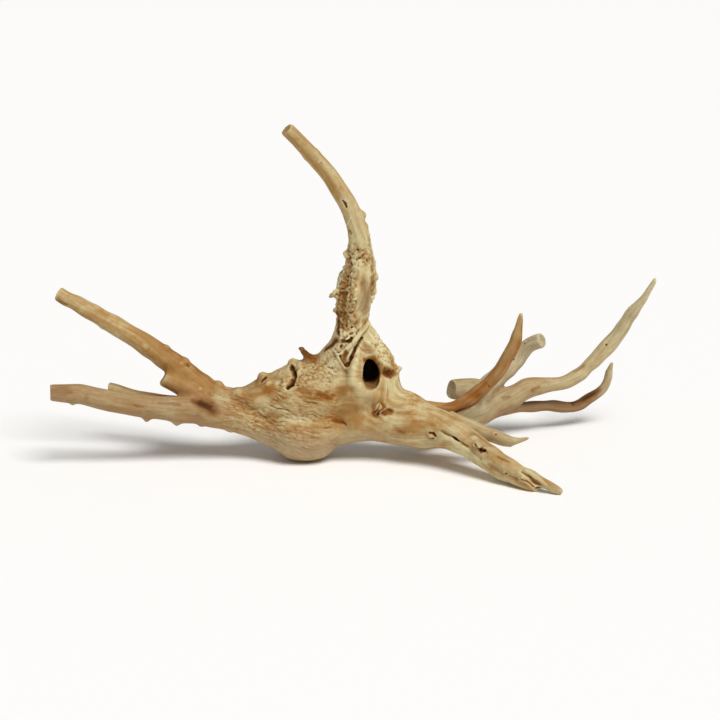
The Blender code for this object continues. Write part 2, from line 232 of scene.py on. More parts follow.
def closed_grid(grid):
    """Points and faces of a grid of rings: four-sided faces between the rings, one face on each end."""
    rings, sides = grid.shape[:2]
    index = np.arange(rings * sides).reshape(rings, sides)
    ahead = np.roll(index, -1, axis=1)
    walls = np.stack([index[:-1], ahead[:-1], ahead[1:], index[1:]], axis=-1).reshape(-1, 4)
    return grid.reshape(-1, 3), walls.tolist() + [index[0, ::-1].tolist(), index[-1].tolist()]


def limb_surface(points, extra=0.0):
    """Centre + radius * (side * cos(angle) + rise * sin(angle)), for each row and each angle."""
    rows = smooth_route(points)
    tangent, side, rise = limb_frame(rows)
    angle = np.arange(SIDES) * math.tau / SIDES
    spokes = side[:, None] * np.cos(angle)[:, None] + rise[:, None] * np.sin(angle)[:, None]
    return closed_grid(rows[:, None, :3] + (rows[:, None, 3:] + extra) * spokes)


def egg_surface(middle, radii, tilt=0.0):
    """Middle + radii * (sin(a) * cos(b), sin(a) * sin(b), cos(a)), then tilted about Y."""
    a = np.linspace(math.pi - EGG_POLE, EGG_POLE, EGG_RINGS)[:, None]
    b = (np.arange(SIDES) * math.tau / SIDES)[None, :]
    ball = np.stack([np.sin(a) * np.cos(b), np.sin(a) * np.sin(b), np.cos(a) + 0 * b], axis=-1)
    cos, sin = math.cos(math.radians(tilt)), math.sin(math.radians(tilt))
    turn = np.array([[cos, 0, sin], [0, 1, 0], [-sin, 0, cos]])
    return closed_grid(np.array(middle) + (ball * radii) @ turn.T)


example = limb_surface(LIMBS["crown"])
print("the crown's surface has", len(example[0]), "points and", len(example[1]), "faces")

# %% [markdown]
# ## Warts
# The lower crown is rough with warts all round it. They are placed by a rule: each next one is a golden
# angle further round the limb, at a height drawn from a seeded generator, so every run gives the same.
# That fills the limb evenly without rows, and more of them come out low down, as on the real one.

# %% Wart places
WARTS = 34
WART_RADII = (1.7, 2.7)
WART_HEIGHTS = (82, 158)
WART_CROWDING = 1.3
WART_SEED = 7
GOLDEN_ANGLE = math.radians(137.5)


def wart_places():
    """Middle and radius of each wart, on the pith's circle at a golden angle from the last."""
    draw = np.random.default_rng(WART_SEED)
    rows = smooth_route(LIMBS["crown"])
    lowest, highest = WART_HEIGHTS
    rough = rows[(rows[:, 2] > lowest) & (rows[:, 2] < highest)]
    for turn in range(WARTS):
        x, y, z, radius = rough[int(len(rough) * draw.random() ** WART_CROWDING)]
        angle = turn * GOLDEN_ANGLE
        yield (
            (x + radius * math.cos(angle), y + radius * math.sin(angle), z),
            draw.uniform(*WART_RADII),
        )


print(WARTS, "warts, the first", round(next(wart_places())[1], 1), "mm in radius")

# %% [markdown]
# ## One skin
# The tubes, knobs and warts overlap. Blender's voxel remesh fuses them: it fills space with small cubes
# and draws one closed surface round all that is inside. Boolean unions could fuse them too, but they often
# fail on so many overlaps, and they leave faces of every size. A crease is left where two limbs meet, and
# wood has none, so the points near the heart are then moved towards the mean of their neighbours, over
# and over. The same is done lightly everywhere to take out the steps of the cubes.

# %% Mesh helpers
def mesh_object(name, shapes):
    """One object from several (points in mm, faces), each list of faces counted from its own points."""
    starts = np.cumsum([0] + [len(points) for points, _ in shapes])
    faces = [
        [start + v for v in face] for start, (_, shape) in zip(starts.tolist(), shapes) for face in shape
    ]
    mesh = bpy.data.meshes.new(name)
    mesh.from_pydata(np.vstack([points for points, _ in shapes]) * MM, [], faces)
    obj = bpy.data.objects.new(name, mesh)
    bpy.context.scene.collection.objects.link(obj)
    return obj


def settled(obj):
    """The same object with its modifiers applied to its mesh."""
    bpy.context.view_layer.update()
    evaluated = obj.evaluated_get(bpy.context.evaluated_depsgraph_get())
    mesh = bpy.data.meshes.new_from_object(evaluated)
    obj.modifiers.clear()
    obj.data = mesh
    return obj


def skinned(obj, voxel):
    """One closed skin round the object, on cubes of the voxel's size in mm."""
    skin = obj.modifiers.new("Skin", "REMESH")
    skin.mode = "VOXEL"
    skin.voxel_size = voxel * MM
    return settled(obj)


def points_of(mesh):
    """The mesh's points, in mm."""
    points = np.empty(len(mesh.vertices) * 3)
    mesh.vertices.foreach_get("co", points)
    return points.reshape(-1, 3) / MM


def normals_of(mesh):
    """The unit vector out of the skin at each point."""
    normals = np.empty(len(mesh.vertices) * 3)
    mesh.vertex_normals.foreach_get("vector", normals)
    return normals.reshape(-1, 3)


def place_points(mesh, points):
    """Moves the mesh's points to these places, in mm."""
    mesh.vertices.foreach_set("co", (points * MM).ravel())
    mesh.update()


trial = mesh_object("trial", [example])
print("the crown limb spans", np.ptp(points_of(trial.data), axis=0).round(), "mm in x, y and z")
bpy.data.objects.remove(trial, do_unlink=True)


# %% Nearness and easing
def nearness(points, middle, reach):
    """1 in the inner half of the ellipsoid, falling to 0 at its surface."""
    away = np.linalg.norm((points - middle) / reach, axis=1)
    return np.clip(2 - 2 * away, 0, 1)


def eased(mesh, values, strength, passes):
    """Each pass moves every point's value towards the mean of its neighbours', by its own strength."""
    ends = np.empty(len(mesh.edges) * 2, int)
    mesh.edges.foreach_get("vertices", ends)
    a, b = ends.reshape(-1, 2).T
    size = len(values)
    neighbours = np.bincount(a, minlength=size) + np.bincount(b, minlength=size)
    strength = np.broadcast_to(strength, size)
    for _ in range(passes):
        total = np.stack(
            [np.bincount(a, v[b], size) + np.bincount(b, v[a], size) for v in values.T], axis=1
        )
        values = values + 0.5 * strength[:, None] * (total / neighbours[:, None] - values)
    return values


print("nearness halfway out:", nearness(np.array([[0.75, 0, 0]]), (0, 0, 0), (1, 1, 1)))

# %% Fuse the limbs
FIRST_VOXEL = 1.15
ROUNDING_LOSS = 0.4
ROUNDING_PASSES = 3
HEART_PASSES = 14
HEART_ZONE = ((-18, 2, 50), (62, 34, 40))

shapes = [limb_surface(route) for route in (*HEART.values(), *SPURS.values())]
shapes += [limb_surface(route, ROUNDING_LOSS) for route in LIMBS.values()]
shapes += [egg_surface(place, (radius,) * 3) for *place, radius in KNOBS]
shapes += [egg_surface(place, (radius,) * 3) for place, radius in wart_places()]
root = skinned(mesh_object("spiderwood_root", shapes), FIRST_VOXEL)

points = eased(root.data, points_of(root.data), 1.0, ROUNDING_PASSES)
points = eased(root.data, points, nearness(points, *HEART_ZONE), HEART_PASSES)
place_points(root.data, points)
print("fused skin:", len(root.data.polygons), "faces")

# %% [markdown]
# ## Hollows and buds
# Where a side root rotted away, the wood is hollow. Those hollows are ellipsoids, taken out with Boolean
# modifiers. Two buds, side roots that never grew out, are laid over the skin. Then a finer voxel remesh
# makes one skin of it all, with a point every 0.6 mm, which is fine enough for the plates and the cracks.

# %% Hollows and buds
# Middle, radii and tilt about Y in degrees
HOLLOWS = {
    "eye": ((8.4, -12, 61), (5.6, 15, 9.4), -8),
    "eye_inside": ((6.5, -3, 62), (7.5, 9, 9), 0),
    "bud_socket": ((80, -49.5, 20.5), (4, 3, 1.9), 25),
    "back_hollow": ((-22, 25, 52), (7, 5, 4.5), 20),
}
BUDS = {
    "golden_bud": ((11, -15.5, 36, 1.9), (13, -17, 39, 2.6), (15, -16.5, 40.5, 1.9)),
    "socket_bud": ((75, -45, 24, 2.4), (79, -48, 22, 2.1)),
}
FINE_VOXEL = 0.62
FINE_PASSES = 7
EYE_PASSES = 16
EYE_ZONE = ((8.4, -15, 61), (18, 10, 22))

cutters = [mesh_object(name, [egg_surface(*egg)]) for name, egg in HOLLOWS.items()]
for cutter in cutters:
    hollow = root.modifiers.new(cutter.name, "BOOLEAN")
    hollow.operation = "DIFFERENCE"
    hollow.object = cutter
root = settled(root)
for cutter in cutters:
    bpy.data.objects.remove(cutter, do_unlink=True)

joined = [(points_of(root.data), [list(face.vertices) for face in root.data.polygons])]
joined += [limb_surface(route) for route in BUDS.values()]
bpy.data.objects.remove(root, do_unlink=True)
root = skinned(mesh_object("spiderwood_root", joined), FINE_VOXEL)
points = eased(root.data, points_of(root.data), 1.0, FINE_PASSES)
points = eased(root.data, points, nearness(points, *EYE_ZONE), EYE_PASSES)
place_points(root.data, points)
print("fine skin:", len(root.data.polygons), "faces")

# %% [markdown]
# ## Sawn ends
# Most limbs were sawn off, and the easing has rounded their ends. Whatever stands out past the saw's plane,
# a little inside the route's end, is moved back onto it. That gives a flat face with a crisp edge, and
# needs no cutter for each end.

# %% Saw the ends
SAWN = ("crown", "left_high", "left_low", "left_back", "pale_branch", "pale_stub")
SAW_LOSS = 0.9
SAW_REACH = 1.8


def sawn(points, route):
    """Points near the route's end and past the plane square to it, moved back along the tangent."""
    rows = smooth_route(route)
    tangent = limb_frame(rows)[0][-1]
    past = (points - rows[-1, :3]) @ tangent + SAW_LOSS
    near = np.linalg.norm(points - rows[-1, :3], axis=1) < SAW_REACH * rows[-1, 3]
    return points - np.where(near, np.clip(past, 0, None), 0)[:, None] * tangent


for name in SAWN:
    points = sawn(points, LIMBS[name])
place_points(root.data, points)
print(len(SAWN), "limbs sawn flat,", SAW_LOSS, "mm inside their ends")

# %% [markdown]
# ## Which way the fibres run
# Wood shows its fibres everywhere, and they follow each limb. So every point of the skin gets a second
# place, the one it would have if its limb were unbent and laid along X: how far along the pith it is, and
# how far from the pith to the side and upwards. A pattern drawn in those coordinates runs along the limb
# by itself. Where limbs meet, the places are mixed by how near each limb's surface is, so the pattern
# flows from one into the next. A branch starts with the coordinates of the wood that it grows from.
# An unwrapped UV map would do on one limb, but it has seams, and they would show where limbs fork.

# %% Grain coordinates
GRAIN_BLEND = 3.5
GRAIN_PASSES = 150
GRAIN_ZONE = ((-10, -5, 50), (95, 45, 60))
CHUNK = 8192
LEFTWARDS = ("crown", "left_high", "left_stub", "left_low", "left_back", "pale_stub")


def unbent(points, rows, start, sense):
    """Distance to the limb's surface, and the place on the unbent limb: start + sense * way along the
    pith, then the offsets square to it. Each point looks to the nearest row and measures from there. What
    lies behind the limb's start counts as further away, by how far behind."""
    tangent, side, rise = limb_frame(rows)
    steps = np.linalg.norm(np.diff(rows[:, :3], axis=0), axis=1)
    along = np.concatenate([[0], np.cumsum(steps)])
    nearest = np.concatenate([
        np.argmin(
            ((points[i:i + CHUNK, None] - rows[None, :, :3]) ** 2).sum(2), axis=1
        ) for i in range(0, len(points), CHUNK)
    ])
    away = points - rows[nearest, :3]
    ahead = (away * tangent[nearest]).sum(1)
    place = np.stack([
        sense * (along[nearest] + ahead),
        (away * side[nearest]).sum(1),
        sense * (away * rise[nearest]).sum(1),
    ], axis=1)
    behind = np.clip(-(along[nearest] + ahead), 0, None)
    return np.linalg.norm(away, axis=1) - rows[nearest, 3] + behind, start + place


def grain_of(points, limbs):
    """The mean of the limbs' unbent places, weighted by exp(-distance / blend), and those weights."""
    found = [unbent(points, *limb) for limb in limbs.values()]
    distance = np.stack([d for d, _ in found])
    weight = np.exp(-(distance - distance.min(0)) / GRAIN_BLEND)
    weight /= weight.sum(0)
    return (weight[:, :, None] * np.stack([g for _, g in found])).sum(0), dict(zip(limbs, weight))


limbs = {}
for name, route in {**HEART, **LIMBS}.items():
    rows = smooth_route(route)
    sense = -1 if name in LEFTWARDS else 1
    start = grain_of(rows[:1, :3], limbs)[0][0] if name in LIMBS else rows[0, :3]
    limbs[name] = (rows, start, sense)
grain, share = grain_of(points, limbs)
grain = eased(root.data, grain, nearness(points, *GRAIN_ZONE), GRAIN_PASSES)
print("grain runs from", grain.min(0).round(), "to", grain.max(0).round(), "mm")

# %% [markdown]
# ## Noise and scales
# Two patterns do most of the surface work. Noise is random values on a lattice of boxes, with a smooth mix
# of the eight nearest ones at each point. Scales are domes round scattered places, one place in each box,
# which is how the small plates of rough root wood look. Both take a size in millimetres, or one for each
# axis, so a pattern can be long along the fibres and short across them. Blender's own textures could move
# the skin too, but here each pattern is also needed as a value, to mix it with others and to tone the wood.

# %% Noise and scales
LATTICE = 32
SCALE_HEIGHTS = (0.55, 1.0)
CORNERS = list(itertools.product((0, 1), repeat=3))
NEIGHBOURS = list(itertools.product((-1, 0, 1), repeat=3))


def noise(points, size, seed):
    """Between -1 and 1: the lattice values at the eight corners, mixed by the smoothstep of the way in."""
    values = np.random.default_rng(seed).uniform(-1, 1, (LATTICE,) * 3)
    cell, way = np.divmod(points / np.array(size, float), 1)
    cell = cell.astype(int)
    way = way * way * (3 - 2 * way)
    total = np.zeros(len(points))
    for corner in CORNERS:
        weight = np.where(corner, way, 1 - way).prod(axis=1)
        total += weight * values[tuple(((cell + corner) % LATTICE).T)]
    return total


def scales(points, size, seed):
    """Height * (1 - squared distance to the nearest scattered place), and each place has its own height."""
    draw = np.random.default_rng(seed)
    places = draw.random((LATTICE,) * 3 + (3,))
    heights = draw.uniform(*SCALE_HEIGHTS, (LATTICE,) * 3)
    points = points / np.array(size, float)
    cell = np.floor(points).astype(int)
    least = np.full(len(points), np.inf)
    height = np.zeros(len(points))
    for step in NEIGHBOURS:
        box = cell + step
        index = tuple((box % LATTICE).T)
        gap = ((points - box - places[index]) ** 2).sum(1)
        height = np.where(gap < least, heights[index], height)
        least = np.minimum(least, gap)
    return height * np.clip(1 - least, 0, 1)


def eased_step(values, low, high):
    """0 below low, 1 above high and a smoothstep between them."""
    way = np.clip((values - low) / (high - low), 0, 1)
    return way * way * (3 - 2 * way)


sample = noise(points, 9, 1)
print("noise on the skin runs from", sample.min().round(2), "to", sample.max().round(2))

# %% [markdown]
# ## Strokes
# What is left to shape are single forms and marks, each at its own place. A stroke is a short list of
# points x, y, z and reach in millimetres. It rises or sinks the skin by a smooth bump across it, and its
# edge may be ragged, as in torn wood. Its points only need to be near the skin, because each one goes
# to the nearest point of it. It does what a sculptor's brush does, but it is a number that can be changed.

# %% Strokes
RAGGED = 0.22
FADE = 1.25


def bump(distance):
    """(1 - distance^2)^2: 1 at a distance of 0, and 0 and level from 1 on."""
    return np.clip(1 - distance**2, 0, 1) ** 2


def stroke(points, rows, ragged):
    """The bump of the distance to the polyline, counted in its reach, which changes along it. It fades out
    a little beyond the reach, and the ragged values move that limit in and out."""
    rows = np.array(rows, float)
    for row in rows:
        row[:3] = points[np.argmin(((points - row[:3]) ** 2).sum(1))]
    reach = rows[:, 3].max() * FADE / (1 - 2 * RAGGED)
    near = (points > rows[:, :3].min(0) - reach) & (points < rows[:, :3].max(0) + reach)
    near = np.flatnonzero(near.all(1))
    least = np.full(len(near), np.inf)
    for a, b in zip(rows, rows[1:] if len(rows) > 1 else rows):
        along = b[:3] - a[:3]
        way = np.clip((points[near] - a[:3]) @ along / max(along @ along, 1e-9), 0, 1)[:, None]
        gap = np.linalg.norm(points[near] - a[:3] - way * along, axis=1)
        least = np.minimum(least, gap / (a[3] + way[:, 0] * (b[3] - a[3])))
    result = np.zeros(len(points))
    result[near] = bump(least / FADE * (1 + RAGGED * ragged[near]))
    return result


print("a stroke's bump at its reach:", round(float(bump(1 / FADE)), 2))

# %% [markdown]
# ## Broad forms
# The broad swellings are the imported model's own, so both have the same outline. On top come forms that only
# the heart and the crown have: the lip that sweeps round the eye and on into the front limb, the valley
# between it and the rough plate, the rib that runs down from the crown and curls at its end, and the
# groove up the crown beside its smooth panel.

# %% Places of the broad forms
# How far the skin rises, then the stroke
FORMS = {
    "lip_sweep": (
        2.0, (-2.5, -15, 70, 3.5), (-3.5, -17, 64, 4), (-2, -19.5, 57, 4.5), (3, -19.5, 51.5, 5),
        (11, -16.5, 46.5, 5.5), (20, -14, 43.5, 5.5), (30, -15.5, 40, 5),
    ),
    "side_hollow": (-3.0, (18, -7, 61, 4.4), (20, -6, 60, 3.8)),
    "heart_valley": (
        -1.5, (-8, -17.5, 63, 3.5), (-11, -19.5, 56, 4.5), (-12.5, -19.5, 48, 5.5),
        (-12, -18, 39, 6.5), (-11.5, -16.5, 30, 6), (-9, -16.5, 23, 5),
    ),
    "recess": (-2.2, (-8.5, -14, 76, 2.4), (-9, -15, 72.5, 2.4), (-8, -16.5, 69, 1.6)),
    "above_eye": (-1.1, (2.5, -8.5, 80, 3.5), (6, -9.5, 74, 5)),
    "shoulder_ridge": (0.5, (6, -6.5, 81, 2), (9.5, -7, 77, 2.8), (13, -6.5, 73.5, 2)),
    "beside_crevice": (1.0, (-0.5, -12, 76, 2.2), (-1.5, -13.5, 72, 2.8)),
    "rib": (
        1.9, (9, -3.5, 94.5, 1.9), (5.5, -7, 91.5, 2.1), (1.5, -9.5, 88, 2.1), (-3, -12, 83.5, 2),
        (-6.5, -14, 80, 1.9), (-11, -15, 76.5, 1.6), (-14, -14.5, 76, 1.3),
    ),
    "strand": (1.2, (-3, -10, 87.5, 1.2), (-9, -12, 84, 1.3), (-15, -12.5, 79.5, 1.5)),
    "plate_lip": (
        1.0, (-16.5, -12, 77.5, 1.3), (-13.5, -14.5, 74, 1.4), (-11, -16.5, 70.5, 1.4), (-9, -17.5, 67, 1.2),
    ),
    "crown_groove": (
        -1.7, (-6.5, -4.5, 136, 2), (-5.5, -6.5, 129, 3), (-8, -7, 122, 3.2), (-10, -7, 115, 3.8),
        (-10.5, -7, 108, 4), (-11, -6, 101, 4), (-10.5, -7.5, 94, 4.5),
    ),
    "panel_edge": (0.8, (-3.5, -9, 123, 1.6), (-3.5, -10.5, 114, 2.2), (-4, -9.5, 105, 1.8)),
    "panel_dip": (-0.7, (2.5, -9.5, 120, 3), (2.5, -10, 112, 3.6), (1, -8.5, 104, 3)),
    "crown_sliver": (1.1, (-11.5, -5, 115.5, 0.9), (-9, -7.5, 117, 1.1), (-5.5, -9.5, 119, 0.8)),
    "crotch": (-1.1, (-107, -10, 40.5, 4), (-100, -10, 39, 7), (-96, -12, 35, 5.5)),
    "heart_dip": (-0.9, (-27, -21, 50, 2.5), (-22, -21, 49, 4), (-17, -21, 48, 2.5)),
    "heart_crease": (-0.6, (-14.5, -17, 30, 1.2), (-11, -16.5, 28.5, 1.4), (-9, -16, 28.5, 0.8)),
    "knob_dip": (-1.0, (-57, -8, 58, 3.2), (-52, -11, 57, 3)),
    "left_bump_1": (1.0, (-59.5, -9.5, 54, 2.6)),
    "left_bump_2": (0.9, (-54, -11, 55, 2.4)),
    "left_bump_3": (1.0, (-49, -15, 54, 2.6)),
    "cleft_bump": (1.2, (-39.5, -11, 61.5, 2.2)),
    "cleft_bank": (0.9, (-39, -4, 66, 2.2), (-38, -9, 64, 2.4)),
    "golden_hump": (0.9, (-74, -9, 42, 5), (-64, -11, 46, 5)),
    "front_gully": (-0.9, (54, -30, 27.5, 1.8), (62, -36, 24.5, 3), (70, -42, 21, 2), (78, -49, 15, 2.4)),
    "front_gully_low": (-0.8, (84, -53, 12, 2), (92, -60, 9, 3), (101, -66, 7, 2)),
    "end_gap": (
        -1.2, (104, -67, 11.5, 1), (108, -70, 10, 1.4), (112, -72.5, 6.5, 1.4), (118, -75.5, 3, 1.2),
    ),
    "end_top": (0.9, (107, -67, 12.5, 1.8), (113, -71.5, 9.5, 2), (119, -75, 6, 1.4)),
    "end_low": (0.8, (105, -68, 7.5, 2), (111, -72, 3.5, 1.8)),
    "end_notch": (-2.2, (116.5, -75.5, 1.5, 2.2), (119.5, -77, 1.5, 1.6)),
}
print(len(FORMS), "forms,", sum(form[0] < 0 for form in FORMS.values()), "of them sunk")

# %% Swellings and broad forms
SWELLING = 0.45
SWELLING_LENGTH = 24.0
RAGGED_FINE = (2.6, 11)
RAGGED_COARSE = (7, 15)

x, y, z = points.T
length = SWELLING_LENGTH / math.tau
swelling = np.sin(x / length + 2 * np.sin(z / length / 1.7))
swelling *= np.cos(z / length / 1.3 + y / length / 1.6) * (1 - eased_step(z, 140, 160))
even = np.zeros(len(points))
ragged = np.clip(noise(points, *RAGGED_FINE) + noise(points, *RAGGED_COARSE), -1, 1)
height = SWELLING * swelling
for form, *rows in FORMS.values():
    height += form * stroke(points, rows, even)
points = points + normals_of(root.data) * height[:, None]
place_points(root.data, points)
print("swellings and forms from", height.min().round(2), "to", height.max().round(2), "mm")

# %% [markdown]
# ## Rough and smooth wood
# Long flutes follow every limb, where the root grew faster on one side, with fine raised fibres on them.
# The left of the heart is covered by small plates in wavy rows that sink to the right. The crown is warty
# on both sides and in a band above its smooth panel, and the shoulder is crumbly, which is noise of two
# sizes. The same crumbs break up the plates and warts. Each rough zone has a wandering edge.
#
# First comes where each kind of wood is, as values from 0 to 1. The relief is then the sum of each pattern
# times its place, and it moves every point of the skin along its normal.

# %% Rough zones
WANDER = (11, 2)
PLATES_RIGHT = -12
PLATES_LEFT = (-100, -78)
PLATES_TOP = (74, 82)
KNOBBY_ZONE = ((-66, -6, 50), (16, 30, 12))
SHOULDER_ZONE = ((21, 0, 78), (17, 24, 26))
TORN_ZONE = ((-8, -8, 88), (9, 9, 14))
WARTS_FOOT = (84, 92)
WARTS_TOP = (146, 158)
BAND_FOOT = (130, 136)
BAND_TOP = (143, 150)

x, y, z = points.T
wander = noise(points, *WANDER)
plated = eased_step(PLATES_RIGHT + 3 * wander - x, 0, 6) * eased_step(x + 4 * wander, *PLATES_LEFT)
plated *= 1 - share["crown"] * eased_step(z, *PLATES_TOP)
plated *= 1 - 0.75 * nearness(points, *KNOBBY_ZONE)
crumbly = eased_step(x + 0.5 * (z - 74) + 1.5 * wander, 9, 13) * nearness(points, *SHOULDER_ZONE)
crumbly = np.maximum(crumbly, nearness(points, *TORN_ZONE))
around = x - 1.5 + 0.35 * y
warty = share["crown"] * eased_step(z, *WARTS_FOOT) * (1 - eased_step(z + 6 * wander, *WARTS_TOP))
band = 0.8 * eased_step(z + 4 * wander, *BAND_FOOT) * (1 - eased_step(z + 4 * wander, *BAND_TOP))
warty *= np.maximum(np.maximum(eased_step(around, 3, 7), eased_step(-around, 4, 8)), band)
on_rib = stroke(points, [(*place, 1.6 * reach) for *place, reach in FORMS["rib"][1:]], even)
plated, crumbly, warty = (rough * (1 - on_rib) for rough in (plated, crumbly, warty))
smooth = 1 - np.maximum(np.maximum(plated, crumbly), warty)
print("smooth wood on", round(100 * smooth.mean()), "% of the skin")

# %% Relief of the wood
FLUTE = 0.4
FIBRE = 0.13
PLATE = 1.2
RIPPLE = 1.15
WARTY = 1.5
CRUMBLY = 1.2
PLATE_TILT = 14.0
# Each pattern's size in mm and its seed
FLUTES = ((46, 6, 6), 7)
FIBRES = ((16, 1.5, 1.5), 8)
PLATES = ((2.6, 2.3, 1.6), 5)
RIPPLES = ((6.5, 3.2, 1.6), 13)
WART_SCALES = ((3.0, 3.0, 2.4), 6)
COARSE_CRUMBS = (2.3, 12)
SMALL_CRUMBS = (1.3, 17)

cos, sin = math.cos(math.radians(PLATE_TILT)), math.sin(math.radians(PLATE_TILT))
wave = np.stack([wander, noise(points, 6, 3), noise(points, 6, 4)], axis=1)
tilted = np.stack([x * cos - z * sin, y, x * sin + z * cos], axis=1)
plates = scales(tilted + 1.1 * wave, *PLATES)
ripples = scales(tilted + 1.4 * wave, *RIPPLES)
low_down = np.maximum(eased_step(56 + 4 * wander - z, 0, 10), eased_step(-44 - x, 0, 6))
warts = scales(points + 1.4 * wave, *WART_SCALES)
crumbs = 0.6 * noise(points, *COARSE_CRUMBS) + 0.4 * noise(points, *SMALL_CRUMBS)
flutes = noise(grain, *FLUTES)
fibres = noise(grain, *FIBRES)

relief = (FLUTE * flutes + FIBRE * fibres) * smooth
strength = plated * (0.8 + 0.5 * noise(points, 7, 9)) * (0.35 + 0.65 * eased_step(z, 8, 26))
relief += PLATE * strength * (1 - low_down) * (plates - plates.mean() + 0.3 * crumbs)
relief += RIPPLE * strength * low_down * (ripples - ripples.mean() + 0.25 * crumbs)
uneven = 0.7 + 0.8 * noise(points, 6, 10)
relief += WARTY * warty * ((warts - warts.mean()) * uneven + 0.75 * crumbs)
relief += CRUMBLY * crumbly * (1 - warty) * crumbs
points = points + normals_of(root.data) * relief[:, None]
place_points(root.data, points)
print("relief from", relief.min().round(2), "to", relief.max().round(2), "mm")
